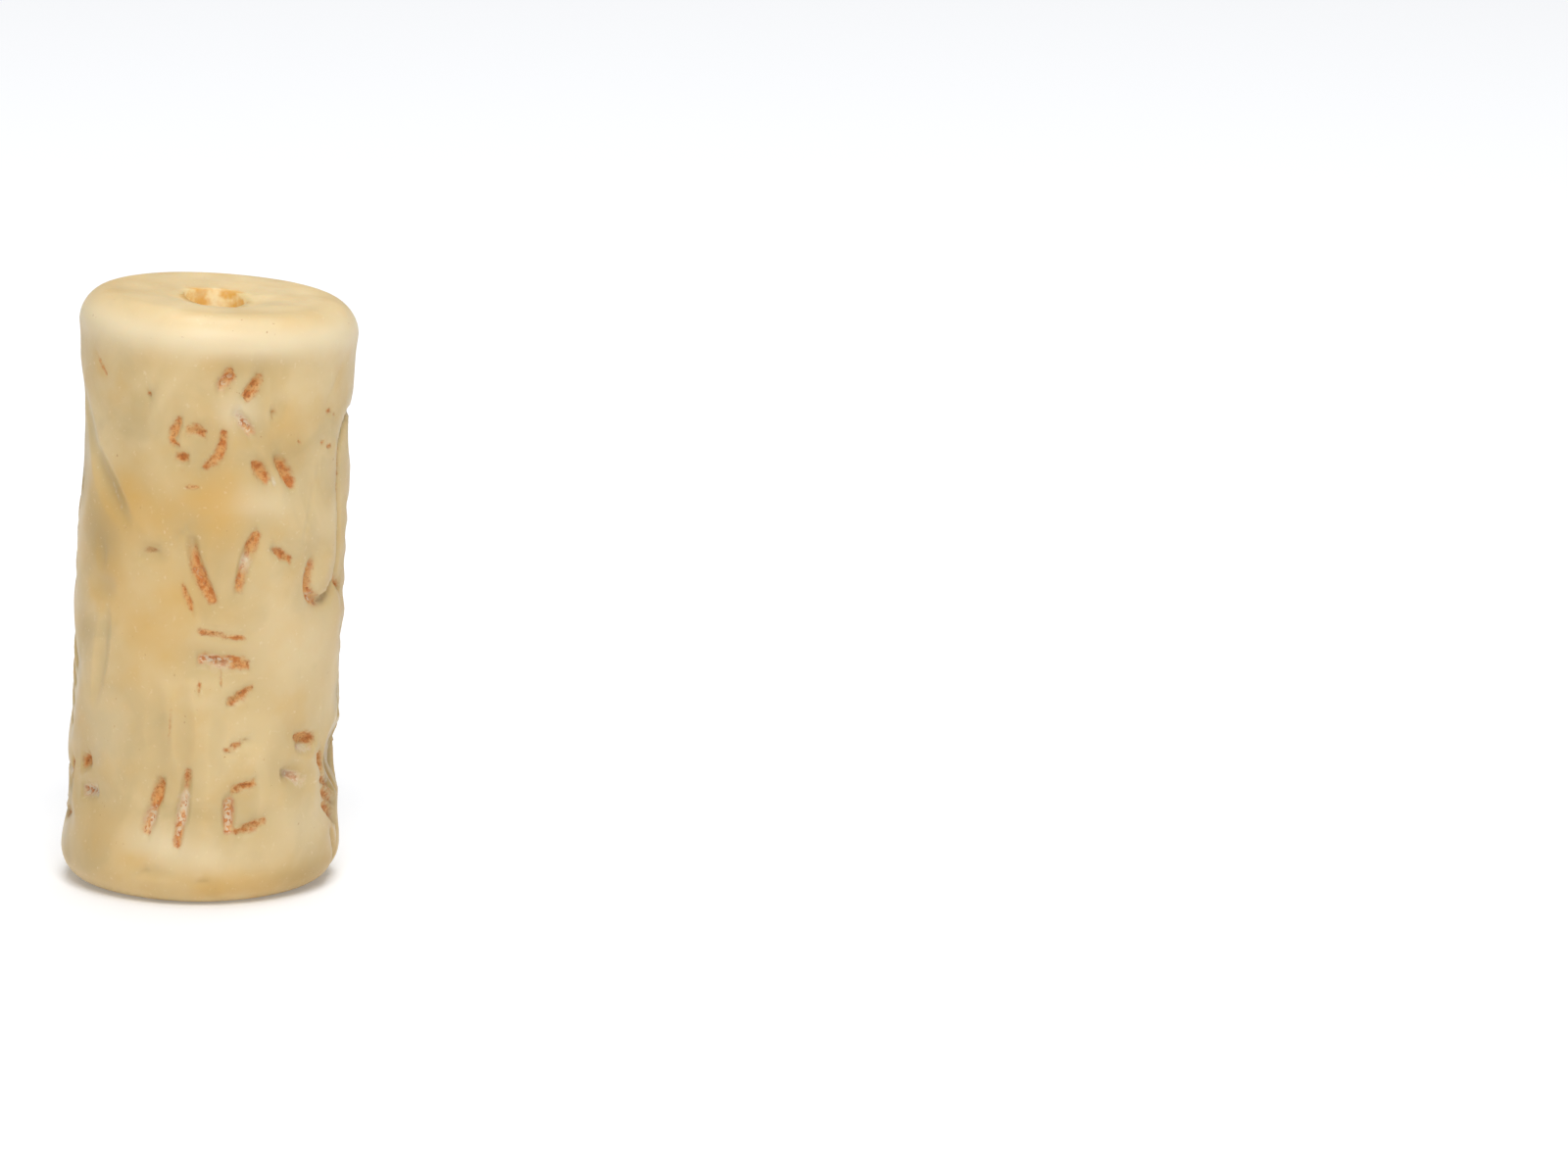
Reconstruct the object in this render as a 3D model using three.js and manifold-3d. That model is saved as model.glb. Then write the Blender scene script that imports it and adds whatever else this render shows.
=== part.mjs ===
import * as THREE from 'three';
import { mergeVertices } from 'three/addons/utils/BufferGeometryUtils.js';
import Module from 'manifold-3d';

// A worn, polished stone cylinder seal, drilled lengthwise and engraved all round with a
// contest of figures and upturned animals. Millimetres, +Z up, standing on its lower end.

// The stone
const HEIGHT = 35;
const BASE_DIAMETER = 16.5;
const WAIST_DIAMETER = 15.95;
const TOP_DIAMETER = 16.4;
const EDGE_RADIUS = 2.1;
const WAIST_SHARE = 0.45;

// The drilled hole and its worn mouths
const BORE_DIAMETER = 3.3;
const MOUTH_FLARE = 0.3;
const MOUTH_DEPTH = 1.6;

// How far the stone is out of true, in degrees
const LEAN = 1.9;
const TOP_TILT = 3.3;

// The engraver's marks: width at the surface and depth, from a hair line to a gouge
const HAIR = { width: 0.34, depth: 0.16 };
const FINE = { width: 0.5, depth: 0.26 };
const CUT = { width: 0.72, depth: 0.36 };
const BROAD = { width: 1.0, depth: 0.48 };
const GOUGE = { width: 1.5, depth: 0.6 };

// Depths of the rounded bodies under the marks
const SHALLOW = 0.22;
const DISHED = 0.3;
const SUNK = 0.42;
const DEEP = 0.6;
const SCOOPED = 0.85;

// Facets of the stone, its hole and its hollows
const ROUND_STEPS = 60;
const WALL_STEPS = 5;
const EDGE_STEPS = 3;
const BORE_STEPS = 20;
const HOLLOW_SIDES = 11;

// The longest steps along a mark: up the stone, round it, and where it nears a rounded end,
// which it does within this many edge radii
const STEP_UP = 3.2;
const STEP_ROUND = 1.3;
const STEP_OVER_END = 1;
const NEAR_END = 1.2;

// How far above the stone a groove and the middle of a hollow's lid begin
const CLEARANCE = 0.1;
const LID = 1;
const ORIGIN = new THREE.Vector2();

// Round the stone, the length of one degree
const MM_PER_DEGREE = (Math.PI * WAIST_DIAMETER) / 360;

const wasm = await Module();
wasm.setup();
const rad = THREE.MathUtils.degToRad;

// A closed geometry as a solid, and a solid as a geometry

function solid(geometry) {
  const bare = geometry.clone();
  bare.deleteAttribute('normal');
  bare.deleteAttribute('uv');
  const merged = mergeVertices(bare, 1e-5);
  return new wasm.Manifold(new wasm.Mesh({
    numProp: 3,
    vertProperties: new Float32Array(merged.attributes.position.array),
    triVerts: new Uint32Array(merged.index.array),
  }));
}

function geometryOf(shape) {
  const { numProp, vertProperties, triVerts } = shape.getMesh();
  const positions = new Float32Array((vertProperties.length / numProp) * 3);
  for (let i = 0; i < positions.length / 3; i++) {
    positions.set(vertProperties.subarray(i * numProp, i * numProp + 3), i * 3);
  }
  const geometry = new THREE.BufferGeometry();
  geometry.setAttribute('position', new THREE.BufferAttribute(positions, 3));
  geometry.setIndex(new THREE.BufferAttribute(new Uint32Array(triVerts), 1));
  const faceted = geometry.toNonIndexed();
  faceted.computeVertexNormals();
  return faceted;
}

// The stone's form: a waisted round, its ends rounded over, leaning, its top out of level

function wallRadius(share) {
  const [base, waist, top] = [BASE_DIAMETER, WAIST_DIAMETER, TOP_DIAMETER].map((d) => d / 2);
  const atBase = ((share - WAIST_SHARE) * (share - 1)) / WAIST_SHARE;
  const atWaist = (share * (1 - share)) / (WAIST_SHARE * (1 - WAIST_SHARE));
  const atTop = (share * (share - WAIST_SHARE)) / (1 - WAIST_SHARE);
  return base * atBase + waist * atWaist + top * atTop;
}

// How far the surface has turned over its rounded end at a height: 0 on the wall, 1 on the flat
function turnOver(height) {
  const intoEdge = Math.max(EDGE_RADIUS - height, height - HEIGHT + EDGE_RADIUS, 0);
  return Math.min(intoEdge / EDGE_RADIUS, 1);
}

function settle(point) {
  point.z -= (point.z / HEIGHT) * point.x * Math.tan(rad(TOP_TILT));
  point.x += (point.z - HEIGHT / 2) * Math.tan(rad(LEAN));
  return point;
}

// The point of the surface at an angle round it, 0 at the front and 90 at the right, and at
// a share of the height, moved out along the surface's normal
function onStone(angle, share, out = 0) {
  const height = HEIGHT * THREE.MathUtils.clamp(share, 0, 1);
  const rise = turnOver(height) * (share < 0.5 ? -1 : 1);
  const level = Math.sqrt(1 - rise * rise);
  const radius = wallRadius(share) - EDGE_RADIUS * (1 - level) + out * level;
  const z = height + out * rise;
  return settle(new THREE.Vector3(
    radius * Math.sin(rad(angle)),
    -radius * Math.cos(rad(angle)),
    z,
  ));
}

function settled(geometry) {
  const positions = geometry.attributes.position;
  const point = new THREE.Vector3();
  for (let i = 0; i < positions.count; i++) {
    settle(point.fromBufferAttribute(positions, i));
    positions.setXYZ(i, point.x, point.y, point.z);
  }
  return geometry;
}

function lathe(profile, steps) {
  const points = profile.map(([radius, z]) => new THREE.Vector2(radius, z));
  return new THREE.LatheGeometry(points, steps).rotateX(Math.PI / 2);
}

function blank() {
  const profile = [[0, 0]];
  for (let i = 0; i < EDGE_STEPS; i++) {
    const turn = (Math.PI / 2) * (i / EDGE_STEPS);
    const height = EDGE_RADIUS * (1 - Math.cos(turn));
    profile.push([wallRadius(height / HEIGHT) - EDGE_RADIUS * (1 - Math.sin(turn)), height]);
  }
  for (let i = 0; i <= WALL_STEPS; i++) {
    const height = EDGE_RADIUS + (HEIGHT - 2 * EDGE_RADIUS) * (i / WALL_STEPS);
    profile.push([wallRadius(height / HEIGHT), height]);
  }
  for (let i = EDGE_STEPS - 1; i >= 0; i--) {
    const turn = (Math.PI / 2) * (i / EDGE_STEPS);
    const height = HEIGHT - EDGE_RADIUS * (1 - Math.cos(turn));
    profile.push([wallRadius(height / HEIGHT) - EDGE_RADIUS * (1 - Math.sin(turn)), height]);
  }
  profile.push([0, HEIGHT]);
  return solid(settled(lathe(profile, ROUND_STEPS)));
}

function bore() {
  const hole = BORE_DIAMETER / 2;
  const mouth = hole + MOUTH_FLARE;
  const past = MOUTH_DEPTH;
  const profile = [
    [0, -past],
    [mouth + MOUTH_FLARE, -past],
    [mouth, 0],
    [hole, MOUTH_DEPTH],
    [hole, HEIGHT - MOUTH_DEPTH],
    [mouth, HEIGHT],
    [mouth + MOUTH_FLARE, HEIGHT + past],
    [0, HEIGHT + past],
  ];
  return solid(settled(lathe(profile, BORE_STEPS)));
}

// One mark of the graver along a path of angles and shares: a V-shaped groove that is
// deepest in its middle and runs out to a point at each end
function mark(path, tool) {
  const onChart = [];
  for (let i = 0; i < path.length; i += 2) {
    onChart.push(new THREE.Vector3(path[i] * MM_PER_DEGREE, path[i + 1] * HEIGHT, 0));
  }
  const line = new THREE.CatmullRomCurve3(onChart, false, 'centripetal');
  const length = line.getLength();
  const round = Math.abs(onChart.at(-1).x - onChart[0].x);
  const overEnd = onChart.some(({ y }) => Math.min(y, HEIGHT - y) < NEAR_END * EDGE_RADIUS);
  const step = overEnd ? STEP_OVER_END : STEP_UP;
  const stations = 1 + Math.ceil(Math.max(length / step, round / STEP_ROUND));
  const rows = [];
  for (let i = 0; i <= stations; i++) {
    const along = line.getTangentAt(i / stations);
    const at = line.getPointAt(i / stations);
    const atTip = i === 0 || i === stations;
    if (atTip) {
      const runOut = ((length / stations) * CLEARANCE) / tool.depth;
      at.addScaledVector(along, i === 0 ? -runOut : runOut);
      rows.push([onStone(at.x / MM_PER_DEGREE, at.y / HEIGHT, CLEARANCE)]);
      continue;
    }
    const swell = Math.sqrt(Math.sin((Math.PI * i) / stations));
    const depth = tool.depth * swell;
    const lip = (tool.width / 2) * swell * (1 + CLEARANCE / depth);
    rows.push([[-lip, CLEARANCE], [0, -depth], [lip, CLEARANCE]].map(([across, out]) => onStone(
      (at.x - along.y * across) / MM_PER_DEGREE,
      (at.y + along.x * across) / HEIGHT,
      out,
    )));
  }
  return solid(skin(rows));
}

// A rounded oval hollow, its half sizes in millimetres, turned on the surface by an angle
function hollow(angle, share, halfWide, halfHigh, depth, turned = 0) {
  const rows = [[onStone(angle, share, -depth)]];
  for (const [reach, down] of [[0.62, -0.64], [1, 0], [1.08, 1]]) {
    const ring = [];
    for (let i = 0; i < HOLLOW_SIDES; i++) {
      const round = (2 * Math.PI * i) / HOLLOW_SIDES;
      const offset = new THREE.Vector2(
        reach * halfWide * Math.cos(round),
        reach * halfHigh * Math.sin(round),
      ).rotateAround(ORIGIN, rad(turned));
      ring.push(onStone(
        angle + offset.x / MM_PER_DEGREE,
        share + offset.y / HEIGHT,
        down > 0 ? CLEARANCE : down * depth,
      ));
    }
    rows.push(ring);
  }
  rows.push([onStone(angle, share, LID)]);
  return solid(skin(rows));
}

// A closed skin over rows of points that begin and end in a single point
function skin(rows) {
  const triangles = [];
  for (let r = 0; r + 1 < rows.length; r++) {
    const [near, far] = [rows[r], rows[r + 1]];
    const sides = Math.max(near.length, far.length);
    for (let i = 0; i < sides; i++) {
      const j = (i + 1) % sides;
      if (far.length > 1) triangles.push(near[i % near.length], far[j], far[i]);
      if (near.length > 1) triangles.push(near[i], near[j], far[j % far.length]);
    }
  }
  return new THREE.BufferGeometry().setFromPoints(triangles);
}

// Equal marks in step from a first to a last
function row(count, first, last, tool) {
  const marks = [];
  for (let i = 0; i < count; i++) {
    const path = first.map((from, k) => from + ((last[k] - from) * i) / (count - 1));
    marks.push(mark(path, tool));
  }
  return marks;
}

// A bent arm or leg: a broad mark down to each joint in turn
function limb(path, tool) {
  const marks = [];
  for (let i = 0; i + 3 < path.length; i += 2) marks.push(mark(path.slice(i, i + 4), tool));
  return marks;
}

// The hero who stands at the front, facing left, in a crown and a fringed, belted skirt
function hero() {
  const crown = [
    hollow(9, 0.885, 1.5, 2.1, SHALLOW, 15),
    mark([6, 0.911, 0, 0.879], CUT),
    mark([19.2, 0.908, 11, 0.862], CUT),
    mark([7, 0.846, 15.5, 0.805], FINE),
  ];
  const head = [
    hollow(-6, 0.79, 1.9, 1.6, SHALLOW),
    mark([-15.5, 0.83, -20.5, 0.787], CUT),
    mark([-20.5, 0.784, -15.5, 0.78], FINE),
    mark([-14, 0.804, -9, 0.811, -4, 0.802], CUT),
    mark([3.4, 0.815, 1.5, 0.772, -6, 0.744], CUT),
    mark([-18, 0.762, -11, 0.762], CUT),
    mark([-16, 0.738, -9.5, 0.735], HAIR),
    mark([-13.5, 0.716, -6, 0.712], HAIR),
    mark([16.2, 0.762, 24.2, 0.722], BROAD),
    mark([26.2, 0.772, 37, 0.71], BROAD),
  ];
  const chest = [
    hollow(5, 0.585, 1.9, 2.3, SHALLOW),
    mark([-9.8, 0.632, -6, 0.575, 2.2, 0.515], BROAD),
    mark([-12.6, 0.55, -7, 0.502], FINE),
    mark([20.4, 0.644, 15, 0.592, 11.6, 0.533], BROAD),
  ];
  const arms = [
    hollow(-26.5, 0.6, 1.5, 0.75, SHALLOW, -4),
    mark([-22, 0.606, -34, 0.592], FINE),
    mark([26, 0.614, 37.6, 0.584], CUT),
  ];
  const belt = [
    mark([-5.8, 0.472, 16, 0.457], FINE),
    mark([-4, 0.428, 18.8, 0.414], CUT),
  ];
  const skirt = [
    hollow(-8, 0.25, 0.9, 5.6, SHALLOW, 3),
    hollow(-18.5, 0.24, 0.9, 5.2, SHALLOW, 6),
    mark([-17.8, 0.218, -25, 0.12], CUT),
    mark([-6.8, 0.235, -10.6, 0.098], CUT),
  ];
  const fringe = [
    mark([20.8, 0.377, 8.2, 0.346], CUT),
    mark([20.2, 0.291, 7.6, 0.266], CUT),
    mark([23.6, 0.213, 11, 0.2], CUT),
    mark([11, 0.19, 11.4, 0.124], CUT),
    mark([28.8, 0.147, 12.8, 0.126], CUT),
  ];
  const feet = [
    mark([-17.5, 0.071, -29, 0.05], FINE),
    mark([4.5, 0.047, -2, 0.047], FINE),
  ];
  return [...crown, ...head, ...chest, ...arms, ...belt, ...skirt, ...fringe, ...feet];
}

// The dagger between the hero and the left animal
function dagger() {
  return [
    mark([-53, 0.61, -53, 0.55], CUT),
    hollow(-53, 0.52, 1.3, 0.6, DISHED, 8),
    hollow(-51.5, 0.41, 0.65, 2.9, DISHED, -7),
  ];
}

// The maned animal on the right, head down, its tail hooked towards the hero
function rightAnimal() {
  const body = [
    hollow(99, 0.775, 2.9, 2.3, DEEP, -20),
    hollow(97, 0.56, 1.8, 4.2, SUNK, 4),
    hollow(90, 0.37, 1.6, 3.0, SUNK, 6),
    hollow(85, 0.215, 3.2, 2.3, SCOOPED, -20),
    mark([129, 0.783, 107.6, 0.68], GOUGE),
  ];
  const mane = [
    ...row(4, [99.3, 0.624, 82.8, 0.655], [101.4, 0.474, 82.8, 0.504], CUT),
    ...row(3, [98.6, 0.3975, 81.4, 0.436], [91.7, 0.297, 78.6, 0.336], CUT),
  ];
  const tail = [
    mark([88, 0.812, 80, 0.82, 72.4, 0.805, 67, 0.777, 65.5, 0.735], FINE),
    mark([66.5, 0.765, 66.2, 0.7, 69, 0.638, 69, 0.554, 67, 0.52], FINE),
    mark([68, 0.535, 63, 0.513, 55.8, 0.508, 49, 0.522, 47.3, 0.548, 50.4, 0.588], CUT),
    mark([69, 0.538, 76.5, 0.516], FINE),
  ];
  const head = [
    mark([107, 0.2415, 98.6, 0.1635], FINE),
    mark([117, 0.317, 104, 0.253], CUT),
    mark([104, 0.275, 95, 0.189], BROAD),
    mark([97, 0.289, 91.7, 0.228], FINE),
    mark([82, 0.325, 80, 0.278], FINE),
    mark([60, 0.24, 65, 0.204], CUT),
    mark([74.5, 0.247, 87.6, 0.172, 90.3, 0.116], CUT),
    ...row(3, [80, 0.165, 60.6, 0.196], [82.8, 0.1, 62.5, 0.152], CUT),
    mark([86, 0.102, 80, 0.033], FINE),
    mark([71, 0.097, 80, 0.033], FINE),
  ];
  const legs = [
    ...limb([135, 0.933, 125.5, 0.885, 127, 0.805], CUT),
    mark([122, 0.95, 132, 0.95], CUT),
    ...limb([134.5, 0.71, 124.5, 0.667, 112.4, 0.605], CUT),
    mark([129, 0.44, 113, 0.356], GOUGE),
    ...limb([130, 0.42, 130, 0.255, 123.6, 0.144, 136, 0.086], CUT),
    ...limb([114.5, 0.19, 111.7, 0.085, 121.4, 0.025], CUT),
    mark([64.8, 0.914, 50.3, 0.841], HAIR),
    ...row(2, [60.5, 0.828, 52.2, 0.838], [58.8, 0.77, 49, 0.787], HAIR),
  ];
  const ears = [
    hollow(49.5, 0.268, 1.2, 0.8, SUNK, 6),
    hollow(41, 0.222, 1.3, 0.9, DISHED, 20),
  ];
  return [...body, ...mane, ...tail, ...head, ...legs, ...ears];
}

// The second figure, at the back, who holds up an animal's leg, in a long folded skirt
function skirtedFigure() {
  const head = [
    hollow(193, 0.805, 0.9, 2.1, SUNK),
    mark([189, 0.922, 173, 0.866], CUT),
    mark([189.5, 0.872, 173, 0.844], CUT),
    mark([166, 0.88, 153, 0.766], BROAD),
  ];
  const chest = [
    hollow(194, 0.63, 1.9, 2.8, SHALLOW),
    mark([209, 0.71, 201, 0.545], BROAD),
    mark([207.4, 0.727, 202.6, 0.657], FINE),
    mark([200, 0.735, 196, 0.57], CUT),
    mark([173, 0.725, 188, 0.62], BROAD),
    mark([168, 0.66, 179, 0.56], CUT),
  ];
  const arms = [
    mark([180, 0.745, 149.5, 0.663], BROAD),
    mark([170, 0.7, 152, 0.638], BROAD),
    mark([211.5, 0.7, 221, 0.67, 231, 0.75], CUT),
    mark([217.8, 0.94, 221, 0.86, 227, 0.75], HAIR),
    mark([154, 0.915, 142, 0.895], CUT),
    ...limb([142.6, 0.885, 139.8, 0.75, 146, 0.65], CUT),
  ];
  const belt = row(2, [200.5, 0.54, 181, 0.54], [206, 0.507, 181, 0.507], CUT);
  const skirt = [
    hollow(197, 0.29, 1.4, 6.4, SHALLOW),
    hollow(180, 0.29, 1.2, 6.4, SHALLOW, 3),
    mark([209.5, 0.27, 209.5, 0.1], FINE),
    mark([200.5, 0.49, 201, 0.1], CUT),
    mark([192, 0.49, 191, 0.38, 184, 0.24, 180.5, 0.088], CUT),
    mark([182.6, 0.498, 175, 0.367, 171, 0.228, 166, 0.088], CUT),
    mark([211, 0.098, 163, 0.094], FINE),
  ];
  const feet = [
    mark([200.5, 0.075, 196, 0.024, 190, 0.02], CUT),
    mark([169.5, 0.035, 151, 0.019], CUT),
  ];
  return [...head, ...chest, ...arms, ...belt, ...skirt, ...feet];
}

// The horned animal on the left, head down
function leftAnimal() {
  const body = [
    hollow(-99, 0.81, 2.9, 2.3, DEEP, 12),
    hollow(-88, 0.72, 3.2, 3.9, DISHED),
    mark([-120.7, 0.805, -111, 0.744], BROAD),
    hollow(-103, 0.6, 1.7, 3.9, SUNK),
    hollow(-102, 0.4, 1.7, 2.8, SUNK),
    hollow(-104, 0.27, 1.5, 2.2, SUNK),
    hollow(-87, 0.155, 2.0, 1.5, SUNK, 8),
  ];
  const ribs = [
    ...row(4, [-77, 0.669, -92.4, 0.694], [-87.5, 0.563, -99, 0.596], FINE),
    mark([-85.5, 0.504, -98.6, 0.54], FINE),
    ...row(4, [-76, 0.372, -91, 0.425], [-84, 0.269, -96.6, 0.306], CUT),
  ];
  const head = [
    ...row(4, [-105, 0.322, -117, 0.303], [-93, 0.2, -113.8, 0.236], FINE),
    ...row(2, [-75, 0.19, -99, 0.19], [-78.6, 0.155, -97, 0.155], FINE),
    mark([-74.5, 0.125, -88, 0.108, -101.4, 0.125], CUT),
    mark([-113.8, 0.1635, -104, 0.102], CUT),
    hollow(-62.5, 0.225, 0.8, 0.75, DISHED),
    hollow(-58.5, 0.177, 1.2, 0.6, DISHED),
  ];
  const legs = [
    hollow(-68, 0.781, 0.75, 2.9, SHALLOW, 34),
    hollow(-51.5, 0.698, 0.85, 2.8, SUNK, 41),
    hollow(-56, 0.73, 1.5, 1.9, SHALLOW, 40),
    ...limb([-126, 0.7215, -114.5, 0.6575], BROAD),
    mark([-122, 0.908, -128, 0.916], FINE),
    mark([-111.7, 0.453, -116.6, 0.47], FINE),
    mark([-128, 0.794, -133, 0.75], CUT),
    ...limb([-126, 0.5, -134, 0.37], CUT),
    mark([-127, 0.292, -136.6, 0.2415], BROAD),
    mark([-133.8, 0.353, -140, 0.3], BROAD),
    mark([-132, 0.2, -128, 0.047], FINE),
    mark([-133, 0.214, -129, 0.158, -124, 0.102, -116, 0.033, -106, 0.015], CUT),
  ];
  const tail = [
    mark([-53.5, 0.876, -64, 0.912], HAIR),
  ];
  return [...body, ...ribs, ...head, ...legs, ...tail];
}

function cylinderSeal() {
  const carving = [
    ...hero(),
    ...dagger(),
    ...rightAnimal(),
    ...skirtedFigure(),
    ...leftAnimal(),
  ];
  const worked = blank().subtract(wasm.Manifold.union([bore(), ...carving]));
  // A chip that crossing marks cut loose falls away
  const [whole] = worked.decompose().sort((a, b) => b.volume() - a.volume());
  const stone = new THREE.MeshStandardMaterial({ color: 0xd9c08f, roughness: 0.42 });
  const mesh = new THREE.Mesh(geometryOf(whole), stone);
  mesh.name = 'cylinder_seal';
  return mesh;
}

const seal = new THREE.Group();
seal.add(cylinderSeal());

export default seal;
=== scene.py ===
"""A worn stone cylinder seal, drilled lengthwise, engraved all round and standing on its end."""

from __future__ import annotations

import logging
import math
from dataclasses import dataclass, field
from enum import Enum

import bpy
import numpy as np
from mathutils import Matrix, Vector


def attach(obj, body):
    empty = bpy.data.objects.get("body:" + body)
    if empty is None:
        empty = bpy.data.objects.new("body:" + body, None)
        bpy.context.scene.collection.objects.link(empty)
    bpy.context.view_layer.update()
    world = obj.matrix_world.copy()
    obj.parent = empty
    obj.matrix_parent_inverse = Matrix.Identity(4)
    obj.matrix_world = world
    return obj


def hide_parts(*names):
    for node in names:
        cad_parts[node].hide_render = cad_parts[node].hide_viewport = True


log = logging.getLogger("cylinder_seal")
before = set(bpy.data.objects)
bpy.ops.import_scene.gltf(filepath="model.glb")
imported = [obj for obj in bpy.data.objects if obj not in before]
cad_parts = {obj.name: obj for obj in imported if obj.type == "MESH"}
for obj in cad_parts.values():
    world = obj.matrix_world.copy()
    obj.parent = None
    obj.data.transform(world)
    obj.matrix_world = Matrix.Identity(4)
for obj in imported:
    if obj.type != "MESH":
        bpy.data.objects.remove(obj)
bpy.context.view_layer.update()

MM = 0.001
NODE = "cylinder_seal"

# Rounding that is allowed for, in millimetres or as a share
SLACK = 0.01

Amounts = tuple[float, ...]
Object = bpy.types.Object
Socket = bpy.types.NodeSocket
Value = float | Amounts | Socket


class Graver(Enum):
    """The engraver's marks: width at the surface and depth, in millimetres."""

    SCRATCH = (0.3, 0.05)
    HAIR = (0.28, 0.13)
    FINE = (0.46, 0.27)
    CUT = (0.66, 0.42)
    BROAD = (0.88, 0.54)
    GOUGE = (1.35, 0.5)
    SMEAR = (1.3, 0.07)

    @property
    def width(self) -> float:
        """The mark's width at the surface."""
        return self.value[0]

    @property
    def depth(self) -> float:
        """The mark's greatest depth."""
        return self.value[1]


SCRATCH, HAIR, FINE, CUT, BROAD, GOUGE, SMEAR = Graver

# Depths of the hollows, in millimetres
SHALLOW, DISHED, SUNK, DEEP, SCOOPED = 0.22, 0.3, 0.42, 0.6, 0.85

# Deposit along a mark, from 0 to 1
CLEAN = (0.0,)
TINGED = (0.1, 0.3, 0.15)
FILLED = (0.55, 1.0, 0.7)


@dataclass(frozen=True)
class Mark:
    """One mark of the graver: a path of angles and shares, and what has settled in it.

    The deposit is given along the mark: rust is the orange-brown earth and chalk the white
    crust, each from 0 to 1.
    """

    path: Amounts
    tool: Graver
    rust: Amounts = TINGED
    chalk: Amounts = CLEAN


@dataclass(frozen=True)
class Hollow:
    """A rounded oval hollow, with its half sizes and depth in millimetres."""

    angle: float
    share: float
    half_wide: float
    half_high: float
    depth: float
    turned: float = 0.0


@dataclass(frozen=True)
class Stain:
    """A soft patch of colour on the stone, with its half sizes in millimetres; it serves for stains,
    pale patches and patches of painted shade.
    """

    angle: float
    share: float
    half_wide: float
    half_high: float
    strength: float


@dataclass(frozen=True)
class Wave:
    """A slow swell round the stone: its height, turns, climb to the millimetre and start."""

    height: float
    turns: float
    climb: float
    start: float

    def at(self, turn: np.ndarray, up: np.ndarray | float = 0.0) -> np.ndarray:
        """The wave's height at angles in radians and millimetres up the stone."""
        return self.height * np.sin(self.turns * turn + self.climb * up + self.start)


Carving = list[Mark | Hollow]


def cut(path: list[float], tool: Graver, rust: Amounts = TINGED, chalk: Amounts = CLEAN) -> Mark:
    """Makes one mark.

    Args:
        path: Angles and shares of the height in turn.
        tool: The graver that cuts it.
        rust: Orange-brown deposit along it.
        chalk: White crust along it.

    Returns:
        The mark.
    """
    return Mark(tuple(path), tool, rust, chalk)


def row(
    count: int, first: list[float], last: list[float], tool: Graver, rust: Amounts = TINGED
) -> list[Mark]:
    """Makes equal marks in step from a first to a last.

    Args:
        count: How many marks there are.
        first: The first mark's path.
        last: The last mark's path.
        tool: The graver that cuts them.
        rust: Orange-brown deposit along each.

    Returns:
        The marks.
    """
    steps = [i / (count - 1) for i in range(count)]
    return [cut([a + (b - a) * t for a, b in zip(first, last)], tool, rust) for t in steps]


def limb(path: list[float], tool: Graver, rust: Amounts = TINGED) -> list[Mark]:
    """Makes a bent arm or leg, with a mark to each joint in turn.

    Args:
        path: Angles and shares of the joints in turn.
        tool: The graver that cuts it.
        rust: Orange-brown deposit along each mark.

    Returns:
        The marks.
    """
    return [cut(path[i : i + 4], tool, rust) for i in range(0, len(path) - 2, 2)]


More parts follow.
